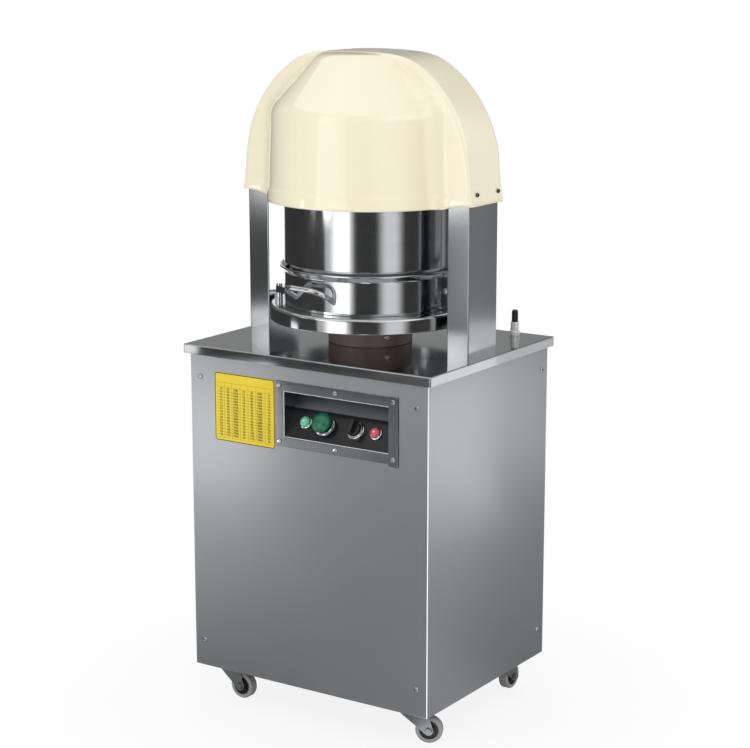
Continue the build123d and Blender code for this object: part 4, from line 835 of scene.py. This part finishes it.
lamp_size = 0.025
lamp_height = 0.005
lens_size = 0.020
lens_front = 0.012
lens_dome = 0.0035
start_size = 0.042
start_bore = 0.0061
selector_size = 0.037
selector_height = 0.008
selector_bore = 0.0042
lens_lap = 0.0015
shape = bmesh.new()
for lamp in ("run_lamp", "power_lamp"):
    bezel(shape, control_axis(lamp), lamp_size, lamp_height, lens_size / 2 - lens_lap)
bezel(shape, control_axis("start_button"), start_size, lamp_height, start_bore)
bezel(shape, control_axis("selector_knob"), selector_size, selector_height, selector_bore)
piece("control_bezel_rings", shape, bezel_chrome, "base", ["control_bezels"])
pale_near = 0.0125
pale_far = 0.0148
glint_core = 0.001
glint_edge = 0.0028
glint_share = 0.8


def lens_finish(name, deep, pale, axis):
    """Moulded lamp glass: deep at its rim and paler towards the middle, with a pale spot at its centre that
    is a painted highlight.
    """
    finish, place = begin(name)
    centre = tuple(axis.translation)
    reach = place.node("VectorMath", {"operation": "DISTANCE"}, {0: place, 1: centre}, "Value")
    reaches = {"Value": reach, "From Min": pale_near, "From Max": pale_far, "To Min": 1.0, "To Max": 0.0}
    cone = place.node("MapRange", {}, reaches)
    offset = place.node("VectorMath", {"operation": "SUBTRACT"}, {0: place, 1: centre})
    aside = place.node("VectorMath", {"operation": "CROSS_PRODUCT"}, {0: offset, 1: tuple(axis.col[2].xyz)})
    off_axis = place.node("VectorMath", {"operation": "LENGTH"}, {0: aside}, "Value")
    # A near-white spot at the lens's centre: a painted highlight.
    painted_glint = ramp(off_axis, glint_core, glint_edge, glint_share, 0.0)
    specks = grain(place, 500, 2.0)
    sockets = {
        "Base Color": between(painted_glint, between(cone, deep, pale), shade(240, 240, 236)),
        "Roughness": 0.1 + 0.1 * specks,
        "Normal": relief(specks, 0.00003),
        "Coat Weight": 0.6,
    }
    return feed(finish, sockets)


nub_radius = 0.0026
nub_crown = 0.0002
nub_foot = 0.0030
nub_height = 0.0009
lens_flat = 0.0062
lens_slope = 0.0010
lens_rim = 0.0017
lens_radius = lens_size / 2
lens_tail = lens_radius - lens_rim
lens_corners = [
    (0, lens_front, 0),
    (nub_radius, lens_front - nub_crown, 0.001),
    (nub_foot, lens_front - nub_height, 0.0004),
    (lens_flat, lens_front - lens_slope, 0.002),
    (lens_radius, lens_front - lens_dome, 0.0012),
    (lens_radius, lamp_height, 0.0003),
    (lens_tail, lamp_height, 0.0002),
    (lens_tail, 0, 0.0002),
    (0, 0, 0),
]
for lamp, slot, deep, pale in (
    ("run_lamp", "lens_green", shade(34, 130, 96), shade(96, 196, 158)),
    ("power_lamp", "lens_red", shade(128, 18, 32), shade(204, 76, 92)),
):
    axis = control_axis(lamp)
    shape = bmesh.new()
    turned(shape, eased(lens_corners), axis, 64)
    piece(f"{lamp}_lens", shape, lens_finish(f"{lamp}_glass", deep, pale, axis), "base", [lamp])

button_green = mottled("button_green", shade(18, 96, 70), shade(24, 108, 80), 60, (0.2, 0.3), 0.00002)
cap_radius = 0.020
cap_back = 0.012
cap_front = 0.027
cap_dome = 0.010
cap_wall = 0.002
cap_hollow = 0.003
cap_stem = 0.006
brow = cap_front - cap_dome
dome_arc = [(0, cap_front, 0)]
for turn in range(6, 84, 6):
    tilt = math.radians(turn)
    dome_arc.append((cap_radius * math.sin(tilt), brow + cap_dome * math.cos(tilt), 0))
corners = [
    *dome_arc,
    (cap_radius, brow, 0.0005),
    (cap_radius, cap_back, 0.0015),
    (cap_radius - cap_wall, cap_back, 0.0005),
    (cap_radius - cap_wall, cap_back + cap_hollow, 0.001),
    (cap_stem, cap_back + cap_hollow, 0.0008),
    (cap_stem, 0, 0.0004),
    (0, 0, 0),
]
shape = bmesh.new()
turned(shape, eased(corners), control_axis("start_button"), 96)
piece("start_button_cap", shape, button_green, "button", ["start_button"])

knob_black = mottled("knob_black", shade(16, 16, 17), shade(26, 26, 28), 90, (0.28, 0.4), 0.00002)
knob_back = 0.0083
knob_front = 0.0163
grip_front = 0.0263
knob_radius = 0.015
knob_bevel = 0.002
knob_stem = 0.004
grip_half = 0.005
grip_inset = 0.0002
grip_length = knob_radius - grip_inset
grip_corner = grip_half - grip_inset
grip_edge = 0.0016
grip_root = 0.0005
pointer_half = 0.0006
pointer_start = 0.004
pointer_end = 0.0135
pointer_corner = 0.0003
pointer_sunk = 0.0002
pointer_proud = 0.0001
selector_axis = control_axis("selector_knob")
corners = [
    (0, knob_front, 0),
    (knob_radius - knob_bevel, knob_front, 0.0006),
    (knob_radius, knob_front - knob_bevel, 0.0008),
    (knob_radius, knob_back, 0.0006),
    (knob_stem, knob_back, 0.0002),
    (knob_stem, 0, 0.0002),
    (0, 0, 0),
]
shape = bmesh.new()
turned(shape, eased(corners), selector_axis, 72)
grip_area = (-grip_half, -grip_length, grip_half, grip_length, grip_corner)
plate(shape, selector_axis, grip_area, knob_front - grip_root, grip_front, grip_edge)
pointer = (-pointer_half, pointer_start, pointer_half, pointer_end, pointer_corner)
plate(shape, selector_axis, pointer, grip_front - pointer_sunk, grip_front + pointer_proud, pointer_proud)
piece("selector_grip", shape, knob_black, "selector", ["selector_knob"])

# Columns
# Two box sections of ground stainless sheet welded to the table. The inner wall of each is slotted
# near its top, so that the crossbeam can come down to the lift rods inside.
column_wall = 0.003
column_corner = 0.0025
slot_half = 0.027
slot_level = 1.024
column_steel = brushed("column_steel", shade(170, 172, 174), shade(188, 189, 190), (0.15, 0.22), "z")
shape = bmesh.new()
for side in (-1, 1):
    mirror = Matrix.Diagonal((side, 1, 1, 1))
    area = (column_inner, column_low.y, column_high.x, column_high.y, column_corner)
    rows = [
        rectangle(area, 0, column_low.z),
        rectangle(area, 0, slot_level),
        rectangle(area, -column_wall, slot_level),
        rectangle(area, -column_wall, column_low.z),
    ]
    skin(shape, rows, mirror, closed=True)
    wall_x = column_inner + column_wall
    back_x = column_high.x - column_wall
    wall_y = column_high.y - column_wall
    channel = [
        (column_inner, slot_half, 0),
        (column_inner, column_high.y, column_corner),
        (column_high.x, column_high.y, column_corner),
        (column_high.x, column_low.y, column_corner),
        (column_inner, column_low.y, column_corner),
        (column_inner, -slot_half, 0),
        (wall_x, -slot_half, 0),
        (wall_x, -wall_y, 0),
        (back_x, -wall_y, 0),
        (back_x, wall_y, 0),
        (wall_x, wall_y, 0),
        (wall_x, slot_half, 0),
    ]
    outline = eased(channel, closed=True)
    rows = [[(x, y, level) for x, y in outline] for level in (slot_level, column_high.z)]
    rings = skin(shape, rows, mirror)
    cap(shape, rings[0])
    cap(shape, rings[1])
piece("column_boxes", shape, column_steel, "base", ["columns"])

# Hub
# A round iron casting under the pan, painted red-brown and bolted to the table. The pan's spigot
# sits in its bore.
hub_low, hub_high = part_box("hub")
hub_paint = mottled("hub_paint", shade(116, 95, 92), shade(140, 118, 114), 40, (0.3, 0.45), 0.00025)
casting_radius = hub_high.x
hub_bore = 0.0301
corners = [
    (hub_bore, hub_low.z, 0),
    (casting_radius, hub_low.z, 0.002),
    (casting_radius, hub_high.z, 0.003),
    (hub_bore, hub_high.z, 0),
]
shape = bmesh.new()
turned(shape, eased(corners, closed=True), upright, 128, closed=True)
piece("hub_casting", shape, hub_paint, "base", ["hub"])
bolt_turn = math.radians(-34)
bolt_rise = 0.0195
bolt_size = 0.011
bolt_height = 0.004
bolt_spot = Matrix.Translation((casting_radius, 0, hub_low.z + bolt_rise))
bolt_out = bolt_spot @ Matrix.Rotation(math.radians(90), 4, "Y")
shape = bmesh.new()
screw_head(shape, Matrix.Rotation(bolt_turn, 4, "Z") @ bolt_out, bolt_size, bolt_height, bolt_height)
piece("hub_bolt", shape, screw_zinc, "base")

# Pan disc and cutting board
# A deep-rimmed disc spun from stainless steel and polished like a mirror; its spigot drops into the
# hub. The white board on it is what the knives press against.
disc_low, disc_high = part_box("support_disc")
disc_radius = disc_high.x
disc_under = hub_high.z
disc_sheet = 0.010
rim_wall = 0.008
disc_ceiling = disc_high.z - disc_sheet
disc_rim = disc_radius - rim_wall
boss_radius = 0.095
spigot_radius = 0.030
disc_steel = polished("pan_steel", shade(190, 192, 194), shade(206, 207, 208), (0.08, 0.14))
corners = [
    (0, disc_high.z, 0),
    (disc_radius, disc_high.z, 0.006),
    (disc_radius, disc_under, 0.0015),
    (disc_rim, disc_under, 0.0015),
    (disc_rim, disc_ceiling, 0.004),
    (boss_radius, disc_ceiling, 0.004),
    (boss_radius, disc_under, 0.001),
    (spigot_radius, disc_under, 0),
    (spigot_radius, disc_low.z, 0.001),
    (0, disc_low.z, 0),
]
shape = bmesh.new()
turned(shape, eased(corners), upright, 192)
piece("pan_disc", shape, disc_steel, "base", ["support_disc"])
board_white = mottled("board_white", shade(226, 226, 220), shade(238, 238, 233), 24, (0.45, 0.6), 0.00003)
dress(board_white, "cutting_board")

# Ring round the pan
# Rolled stainless strip, polished, with a flared lip. The rear part is welded to the disc; the front
# part is a door on a hinge at the left, and a bolt through two flanges closes the seam at the right.
ring_low, ring_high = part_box("rear_ring")
door_low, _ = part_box("front_ring")
ring_radius = 0.168
ring_wall = 0.003
flare = 0.009
flare_edge = 0.003
seam = 0.0003
seam_reach = 0.016
seam_sheet = 0.004
seam_corner = 0.003
seam_edge = 0.0008
seam_drop = 0.012
seam_top = ring_high.z - seam_drop
hinge_azimuth = -66.0
ring_steel = polished("ring_steel", shade(190, 192, 194), shade(206, 207, 208), (0.08, 0.14))


def hoop(bm, bottom, start, end):
    """A stretch of the ring's wall with its flared lip, between two angles from +X."""
    flare_low = ring_high.z - flare_edge - flare
    corners = [
        (ring_radius - ring_wall, bottom, 0.0004),
        (ring_radius, bottom, 0.0004),
        (ring_radius, flare_low, 0.004),
        (ring_radius + flare, ring_high.z - flare_edge, 0.001),
        (ring_radius + flare, ring_high.z, 0.0012),
        (ring_radius + flare - flare_edge, ring_high.z, 0.0012),
        (ring_radius - ring_wall, flare_low + ring_wall, 0.004),
    ]
    turned(bm, eased(corners, closed=True), upright, 160, True, start, end - start)


seam_turn = math.degrees(seam / ring_radius)
seam_near = ring_radius - 0.5 * ring_wall
seam_far = ring_radius + seam_reach
shape = bmesh.new()
hoop(shape, ring_low.z, seam_turn, 270 + hinge_azimuth - seam_turn)
area = (-seam_far, ring_low.z, -seam_near, seam_top, seam_corner)
plate(shape, rear, area, seam, seam + seam_sheet, seam_edge)
piece("rear_ring_hoop", shape, ring_steel, "base", ["rear_ring"])

pin_circle = 0.182
pin_turn = math.radians(hinge_azimuth - 90)
pin = pin_circle * Vector((math.cos(pin_turn), math.sin(pin_turn)))
leaf_circle = 0.1665
leaf_lead = 7
leaf_turn = math.radians(hinge_azimuth + leaf_lead - 90)
leaf = leaf_circle * Vector((math.cos(leaf_turn), math.sin(leaf_turn))) - pin
eye = 0.007
leaf_end = 0.0025
pin_bore = 0.0041
knuckle_foot = 0.0134
knuckle_head = 0.0264
knuckle = (ring_low.z + knuckle_foot, ring_low.z + knuckle_head)


def knuckle_reach(turn):
    """How far the hinge eye and its leaf reach from the pin in one direction."""
    reach = 0.0
    for step in range(41):
        share = step / 40
        radius = eye + (leaf_end - eye) * share
        along = share * leaf.length * math.cos(turn - math.atan2(leaf.y, leaf.x))
        across = share * leaf.length * math.sin(turn - math.atan2(leaf.y, leaf.x))
        if abs(across) < radius:
            reach = max(reach, along + math.sqrt(radius**2 - across**2))
    return reach


shape = bmesh.new()
hoop(shape, door_low.z, hinge_azimuth - 90 + seam_turn, -seam_turn)
area = (seam_near, door_low.z, seam_far, seam_top, seam_corner)
plate(shape, front, area, seam, seam + seam_sheet, seam_edge)
turns = [math.radians(5 * step) for step in range(72)]
rows = []
for reach, level in ((None, knuckle[0]), (None, knuckle[1]), (pin_bore, knuckle[1]), (pin_bore, knuckle[0])):
    radii = [reach or knuckle_reach(t) for t in turns]
    rows.append([(pin.x + r * math.cos(t), pin.y + r * math.sin(t), level) for r, t in zip(radii, turns)])
skin(shape, rows, upright, closed=True)
piece("front_ring_door", shape, ring_steel, "door", ["front_ring"])
dress(ring_steel, "front_handle", "hinge_bracket")
dress(screw_zinc, "clasp_bolt")

# Head
# The crossbeam on the lift rods carries the head plate, and from it hang the polished drum, the knife
# grid and the sprung press plate with its white pads.
drum_low, drum_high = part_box("head_drum")
drum_radius = drum_high.x
drum_wall = 0.003
drum_steel = polished("drum_steel", shade(190, 192, 194), shade(206, 207, 208), (0.09, 0.15))
corners = [
    (drum_radius, drum_low.z, 0.001),
    (drum_radius, drum_high.z, 0.0005),
    (drum_radius - drum_wall, drum_high.z, 0.0005),
    (drum_radius - drum_wall, drum_low.z, 0.001),
]
shape = bmesh.new()
turned(shape, eased(corners, closed=True), upright, 192, closed=True)
piece("drum_wall", shape, drum_steel, "head", ["head_drum"])
beam_paint = mottled("beam_paint", shade(84, 88, 92), shade(98, 102, 106), 26, (0.45, 0.6), 0.00008)
knife_steel = brushed("knife_steel", shade(190, 192, 194), shade(206, 207, 208), (0.16, 0.26), "z")
pad_white = mottled("pad_white", shade(228, 228, 224), shade(240, 240, 236), 40, (0.4, 0.55), 0.00003)
urethane = mottled("spring_urethane", shade(176, 104, 28), shade(196, 122, 40), 50, (0.3, 0.45), 0.00003)
dress(beam_paint, "crossbeam", "head_plate")
dress(screw_zinc, "rod_nuts")
dress(knife_steel, "knife_grid")
dress(pad_white, "press_pads")
dress(machined, "press_carrier")
spring_low, spring_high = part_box("press_springs")
spring_count = 6
spring_turn = 30
spring_radius = 0.014
spring_bore = 0.0065
spring_edge = 0.0012
spring_circle = spring_high.y - spring_radius
corners = [
    (spring_bore, spring_low.z, 0),
    (spring_radius, spring_low.z, spring_edge),
    (spring_radius, spring_high.z, spring_edge),
    (spring_bore, spring_high.z, 0),
]
shape = bmesh.new()
for index in range(spring_count):
    bearing = math.radians(spring_turn + 360 / spring_count * index)
    spot = (spring_circle * math.cos(bearing), spring_circle * math.sin(bearing), 0)
    turned(shape, eased(corners, closed=True), Matrix.Translation(spot), 48, closed=True)
springs = piece("press_spring_tubes", shape, urethane, "head", ["press_springs"])
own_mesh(springs)

# Cover
# One moulding in cream glass-fibre with a glossy gel coat: an arch over the two columns, blended into
# a round bulge over the drum. Two dark screws at each side fix it to the columns.
cover_low, cover_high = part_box("cover")
cover_wall = 0.004
wing_half = 0.0595
wing_foot = 1.022
wing_draft = math.radians(5.65)
wing_edge = 0.009
arc_radius = 0.237
arc_x = 0.02108
arc_z = 1.074
crown_curve = 1.354
bulge_foot = 0.199
bulge_waist = 0.191
bulge_waist_z = 1.192
bulge_top = 0.102
bulge_top_z = 1.294
dome_radius = 0.870
side_blend = 0.012
waist_blend = 0.010
junction = 0.026
junction_least = 0.002
junction_top = 1.285
junction_fade = 0.07
rim_band = 0.028
rim_fade = 0.006
rim_flare = 0.0012
top_gap = 0.0006
top_z = cover_high.z - top_gap


def blend_max(first, second, width):
    """The greater of two distances, rounded over where they meet."""
    overlap = np.maximum(width - np.abs(first - second), 0) / width
    return np.maximum(first, second) + overlap**2 * width / 4


def cover_distance(x, y, z):
    """Distance outside the cover's skin; below zero inside it."""
    side_x = np.abs(x) - arc_x
    side_z = z - arc_z
    plane = side_x * math.cos(wing_draft) + side_z * math.sin(wing_draft) - arc_radius
    circle = np.hypot(side_x, side_z) - arc_radius
    sides = np.where(np.arctan2(side_z, side_x) < wing_draft, plane, circle)
    crown = np.hypot(x, z - (top_z - crown_curve)) - crown_curve
    profile = blend_max(sides, crown, side_blend)
    breadth = np.abs(y) - wing_half
    arch = np.minimum(np.maximum(profile, breadth), -wing_edge)
    arch = arch + np.hypot(np.maximum(profile + wing_edge, 0), np.maximum(breadth + wing_edge, 0))
    reach = np.hypot(x, y)
    lean = math.atan2(bulge_foot - bulge_waist, bulge_waist_z - cover_low.z)
    wall = (reach - bulge_foot) * math.cos(lean) + (z - cover_low.z) * math.sin(lean)
    rise = math.atan2(bulge_waist - bulge_top, bulge_top_z - bulge_waist_z)
    cone = (reach - bulge_waist) * math.cos(rise) + (z - bulge_waist_z) * math.sin(rise)
    dome = np.hypot(reach, z - (top_z - dome_radius)) - dome_radius
    bulge = blend_max(blend_max(wall, cone, waist_blend), dome, side_blend)
    fade = np.clip((junction_top - z) / junction_fade, 0, 1)
    fillet = junction_least + junction * fade * fade * (3 - 2 * fade)
    joined = np.maximum(fillet, np.minimum(arch, bulge))
    joined = joined - np.hypot(np.maximum(fillet - arch, 0), np.maximum(fillet - bulge, 0))
    low_down = np.clip((cover_low.z + rim_band - z) / rim_fade, 0, 1)
    return joined - rim_flare * low_down * low_down * (3 - 2 * low_down)


def cover_reach(start, step):
    """How far from the start points the skin lies along each direction."""
    near = np.zeros(step[0].shape)
    far = near + 0.5
    for _ in range(40):
        middle = (near + far) / 2
        spots = (origin + middle * along for origin, along in zip(start, step))
        inside = cover_distance(*spots) < 0
        near = np.where(inside, middle, near)
        far = np.where(inside, far, middle)
    return near


cover_turns = 360
cover_rows = 120
middle_z = 1.10
corner_turn = math.radians(17)
corner_spread = math.radians(9)
corner_density = 2.6
rim_start = math.radians(13.5)
rim_run = math.radians(4)
fine = np.linspace(0, 2 * math.pi, 7201)
from_wing = np.abs((fine + math.pi / 2) % math.pi - math.pi / 2)
density = 1 + corner_density * np.exp(-(((from_wing - corner_turn) / corner_spread) ** 2))
spread = np.concatenate(([0], np.cumsum((density[1:] + density[:-1]) / 2)))
azimuth = np.interp(np.arange(cover_turns) / cover_turns, spread / spread[-1], fine)
wing_turn = np.minimum(azimuth % math.pi, math.pi - azimuth % math.pi)
past_wing = np.clip((wing_turn - rim_start) / rim_run, 0, 1)
rim = wing_foot - (wing_foot - cover_low.z) * past_wing * past_wing * (3 - 2 * past_wing)
flat = np.zeros(cover_turns)
rim_reach = cover_reach((flat, flat, rim), (np.cos(azimuth), np.sin(azimuth), flat))
rim_rise = np.arctan2(rim - middle_z, rim_reach)
share = np.linspace(0, 1, cover_rows)[:, None]
lift = rim_rise + (math.pi / 2 - rim_rise) * share
directions = (np.cos(lift) * np.cos(azimuth), np.cos(lift) * np.sin(azimuth), np.sin(lift))
nothing = np.zeros(lift.shape)
reach = cover_reach((nothing, nothing, nothing + middle_z), directions)
skin_x, skin_y = reach * directions[0], reach * directions[1]
skin_z = middle_z + reach * directions[2]
cream, place = begin("cream_gel_coat")
clouds = grain(place, 4.0, 2.0)
peel = grain(place, 260.0, 2.0)
feed(
    cream,
    {
        "Base Color": between(clouds, shade(242, 233, 204), shade(246, 238, 212)),
        "Roughness": 0.09 + 0.06 * clouds,
        "Normal": relief(peel, 0.00002),
        "Coat Weight": 0.6,
        "Coat Roughness": 0.03,
    },
)
shape = bmesh.new()
rows = [list(zip(*row)) for row in zip(skin_x.tolist(), skin_y.tolist(), skin_z.tolist())]
skin(shape, rows, upright)
shell = piece("cover_moulding", shape, cream, "base", ["cover"], 60)
thickness = shell.modifiers.new("moulded_wall", "SOLIDIFY")
thickness.thickness = cover_wall
thickness.offset = -1
shell.modifiers.move(1, 0)

screw_low, screw_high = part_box("cover_screws")
cover_head = 0.0085
cover_head_height = 0.0035
cover_shank = 0.008
cover_screw_inset = 0.0055
screw_dark = mottled("screw_dark", shade(92, 86, 74), shade(116, 108, 92), 200, (0.25, 0.4), 0.00002, metal)
shape = bmesh.new()
for facing in (left, right):
    for along in (screw_low.y + cover_screw_inset, screw_high.y - cover_screw_inset):
        spot = (along, (screw_low.z + screw_high.z) / 2, screw_high.x - cover_head_height)
        screw_head(shape, facing @ Matrix.Translation(spot), cover_head, cover_head_height, cover_shank)
piece("cover_screw_heads", shape, screw_dark, "base", ["cover_screws"])

# Setting knob
# A black moulded knob on a spindle through the table, turning in a bright stepped collar, at the
# right rear of the table. It sets the gap between the pads and the board.
knob_low, knob_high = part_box("setting_knob")
collar_radius = (collar_high.x - collar_low.x) / 2
collar_rise = 0.009
collar_shoulder = 0.002
collar_step = collar_low.z + collar_rise
spindle_radius = 0.004
cap_gap = 0.0004
cap_foot = collar_high.z + cap_gap
cap_radius_low = 0.0065
cap_radius_high = 0.0062
cap_crown = 0.0045
neck_radius = collar_radius - collar_shoulder
post = Matrix.Translation((knob_axis.x, knob_axis.y, 0))
plated = {"Metallic": 0.4}
collar_chrome = mottled(
    "collar_chrome", shade(222, 222, 222), shade(236, 236, 236), 120, (0.18, 0.28), 0.00001, plated
)
corners = [
    (spindle_hole, collar_low.z, 0),
    (collar_radius, collar_low.z, 0.0008),
    (collar_radius, collar_step, 0.0012),
    (neck_radius, collar_step, 0.0006),
    (neck_radius, collar_high.z, 0.0016),
    (spindle_hole, collar_high.z, 0.0004),
]
shape = bmesh.new()
turned(shape, eased(corners, closed=True), post, 64, closed=True)
piece("knob_collar_ring", shape, collar_chrome, "base", ["knob_collar"])
corners = [
    (0, knob_high.z, 0),
    (cap_radius_high, knob_high.z, cap_crown),
    (cap_radius_low, cap_foot, 0.0008),
    (spindle_radius, cap_foot, 0.0003),
    (spindle_radius, knob_low.z, 0.0006),
    (0, knob_low.z, 0),
]
shape = bmesh.new()
turned(shape, eased(corners), post, 64)
piece("setting_knob_cap", shape, knob_black, "setting", ["setting_knob"])

# Studio
# A pale floor and three soft boxes. A dark curtain hung with pale papers, and small bright cards near
# the machine, show only in what shines. The camera stands at the front right, above the table.
camera_turn = math.radians(33.61)
camera_rise = math.radians(12.27)
camera_reach = 4.0211
camera_lens = 97.87
camera_sensor = 36.0
camera_target = Vector((0.0109, 0.0, 0.6669))
camera_out = Vector((
    math.sin(camera_turn) * math.cos(camera_rise),
    -math.cos(camera_turn) * math.cos(camera_rise),
    math.sin(camera_rise),
))
camera = bpy.data.objects.new("camera", bpy.data.cameras.new("camera"))
camera.data.lens = camera_lens
camera.data.sensor_width = camera_sensor
camera.location = camera_target + camera_reach * camera_out
camera.rotation_euler = (-camera_out).to_track_quat("-Z", "Y").to_euler()
bpy.context.scene.collection.objects.link(camera)
bpy.context.scene.camera = camera
bpy.context.scene.view_settings.view_transform = "Standard"


def soft_box(name, spot, aim, width, height, radiance):
    """A flat lamp facing a point, with so much light from each part of its face."""
    light = bpy.data.lights.new(name, "AREA")
    light.shape = "RECTANGLE"
    light.size = width
    light.size_y = height
    light.energy = radiance * math.pi * width * height
    lamp = bpy.data.objects.new(name, light)
    lamp.location = spot
    lamp.rotation_euler = (Vector(aim) - Vector(spot)).to_track_quat("-Z", "Y").to_euler()
    lamp.visible_camera = False
    bpy.context.scene.collection.objects.link(lamp)


soft_box("front_box", (-0.43, -2.56, 1.35), (0, 0, 1.35), 1.6, 2.2, 0.62)
soft_box("camera_box", (1.88, -2.83, 2.4), (0, 0, 0.8), 1.4, 1.4, 2.0)
soft_box("overhead_box", (0, -0.2, 3.0), (0, -0.2, 0), 1.8, 1.8, 0.1)


def stage_piece(name, bm, finish, mirrored_only=False):
    """A part of the studio, not of the machine; one that is mirrored only shows in what shines."""
    mesh = bpy.data.meshes.new(name)
    bm.to_mesh(mesh)
    bm.free()
    mesh.materials.append(finish)
    made = bpy.data.objects.new(name, mesh)
    bpy.context.scene.collection.objects.link(made)
    if mirrored_only:
        made.visible_camera = False
        made.visible_diffuse = False
        made.visible_transmission = False
        made.visible_shadow = False


def seen_directly(place):
    """1 for what the camera, a reflection or a see-through piece looks at, 0 for light on its way."""
    kinds = ("Is Camera Ray", "Is Glossy Ray", "Is Transmission Ray")
    return sum(place.node("LightPath", output=kind) for kind in kinds)


floor_radius = 14.0
shadow_near = 0.3
shadow_far = 0.9
shadow_clear = 0.86
floor_finish, place = begin("pale_floor")
feed(floor_finish, {"Base Color": (0.85, 0.85, 0.85, 1.0), "Roughness": 0.9})
away = place.node("VectorMath", {"operation": "LENGTH"}, {0: place}, "Value")
clear = ramp(away, shadow_near, shadow_far, shadow_clear, 1.0) * seen_directly(place)
paper = Wire(place.tree, place.tree.nodes["Principled BSDF"].outputs[0])
white = place.node("Emission")
floor_mix = place.node("MixShader", {}, {0: clear, 1: paper, 2: white})
place.node("OutputMaterial", {"is_active_output": True}, {"Surface": floor_mix})
shape = bmesh.new()
bmesh.ops.create_circle(shape, cap_ends=True, radius=floor_radius, segments=64)
stage_piece("floor", shape, floor_finish)

fill_light = 0.92
world = bpy.data.worlds.new("studio_air")
bpy.context.scene.world = world
world.use_nodes = True
air = Wire(world.node_tree, world.node_tree.nodes["Background"].outputs[0])
fill = air.node("Background", {}, {"Color": (1.0, 1.0, 1.0, 1.0), "Strength": fill_light})
backdrop = air.node("Background", {}, {"Color": (1.0, 1.0, 1.0, 1.0), "Strength": 1.0})
air_mix = air.node("MixShader", {}, {0: seen_directly(air), 1: fill, 2: backdrop})
air.node("OutputWorld", {"is_active_output": True}, {"Surface": air_mix})

curtain_radius = 3.0
curtain_top = 3.2
curtain_foot = 0.003
curtain_hem = 0.02
hem_fade = 0.004
half_turn = 180.0


def cloth(turn, ground, *papers):
    """Light round the room: dark cloth with papers (bearing in degrees, half width, soft edge, level)."""
    level = ground
    for bearing, half, edge, paper in papers:
        off = turn.node("Math", {"operation": "WRAP"}, {0: turn - bearing, 1: half_turn, 2: -half_turn})
        level = level + ramp(abs(off), half, half + edge, paper, 0.0)
    return level


def rising(lower, upper, height, start, end):
    """A value that changes to another while a height goes from start to end."""
    return lower + ramp(height, start, end, 0.0, 1.0) * (upper - lower)


curtain_finish, place = begin("grey_curtain")
across, along, up = (place.node("SeparateXYZ", {}, {0: place}, part) for part in "XYZ")
turn = across.sum("ARCTAN2", across, 0 - along) * (half_turn / math.pi)
floor_reach = place.node("VectorMath", {"operation": "LENGTH"}, {0: place}, "Value")
low_wall = cloth(
    turn,
    0.05,
    (-3, 7, 12, 1.35),
    (60, 5, 15, 0.9),
    (130, 14, 10, 0.28),
    (174, 6, 12, 1.5),
    (-135, 2, 10, 1.6),
)
middle_wall = cloth(
    turn,
    0.12,
    (-15, 2, 10, 1.0),
    (-35, 1, 9, 0.5),
    (58, 12, 16, 0.6),
    (140, 8, 20, 0.75),
    (-145, 14, 8, 0.2),
)
high_wall = cloth(turn, 0.2, (-15, 5, 25, 0.4), (70, 10, 30, 1.4), (135, 3, 25, 1.1))
near_floor = cloth(turn, 0.3, (-75, 3, 25, 1.1), (56, 6, 8, 1.0), (95, 12, 15, 0.2))
far_floor = cloth(
    turn,
    0.1,
    (-45, 3, 26, 1.25),
    (56, 6, 8, 1.2),
    (110, 6, 25, 1.1),
    (145, 10, 25, 0.4),
    (-130, 30, 15, 0.3),
)
floor_light = rising(near_floor, far_floor, floor_reach, 0.9, 1.3)
wall_light = rising(rising(low_wall, middle_wall, up, 0.8, 1.0), high_wall, up, 1.7, 1.9)
glow = place.node("Emission", {}, {"Color": rising(floor_light, wall_light, up, hem_fade, curtain_hem)})
place.node("OutputMaterial", {"is_active_output": True}, {"Surface": glow})
shape = bmesh.new()
drop = [(0.0, curtain_foot), (curtain_radius, curtain_foot), (curtain_radius, curtain_hem)]
turned(shape, [*drop, (curtain_radius, curtain_top)], upright, 128)
stage_piece("curtain", shape, curtain_finish, mirrored_only=True)

card_board = 0.002
card_corner = 0.01
card_edge = 0.001
for name, spot, aim, width, height, radiance in (
    ("left_card", (-0.45, -0.53, 0.52), (-0.22, -0.22, 0.57), 0.26, 0.20, 1.8),
    ("left_foot_card", (-0.46, -0.40, 0.685), (-0.232, -0.052, 0.77), 0.12, 0.045, 1.6),
    ("right_card", (0.52, 0.16, 0.53), (0.275, -0.16, 0.60), 0.26, 0.32, 1.35),
    ("right_far_card", (0.56, 0.46, 0.54), (0.275, 0.12, 0.62), 0.32, 0.30, 0.9),
    ("gap_card", (-0.194, -0.009, 0.915), (-1.044, -0.535, 0.915), 0.048, 0.20, 2.3),
    ("left_high_card", (-0.50, -0.46, 1.08), (-0.23, -0.052, 1.02), 0.24, 0.22, 0.37),
    ("right_high_card", (-0.04, -0.46, 1.09), (0.232, -0.052, 1.02), 0.16, 0.22, 1.2),
    ("left_far_card", (-0.76, -0.85, 0.935), (-0.26, -0.10, 0.75), 0.16, 0.08, 4.2),
    ("button_card", (0.46, -0.90, 0.38), (0.02, -0.22, 0.51), 0.20, 0.16, 6.0),
    ("foot_card", (-0.30, -0.85, 0.935), (0.2, -0.10, 0.75), 0.16, 0.08, 4.6),
):
    card_finish, place = begin(name)
    glow = place.node("Emission", {}, {"Color": (1.0, 1.0, 1.0, 1.0), "Strength": radiance})
    place.node("OutputMaterial", {"is_active_output": True}, {"Surface": glow})
    facing = (Vector(aim) - Vector(spot)).to_track_quat("Z", "Y").to_matrix().to_4x4()
    area = (-width / 2, -height / 2, width / 2, height / 2, card_corner)
    shape = bmesh.new()
    plate(shape, Matrix.Translation(spot) @ facing, area, -card_board, 0, card_edge)
    stage_piece(name, shape, card_finish, mirrored_only=True)
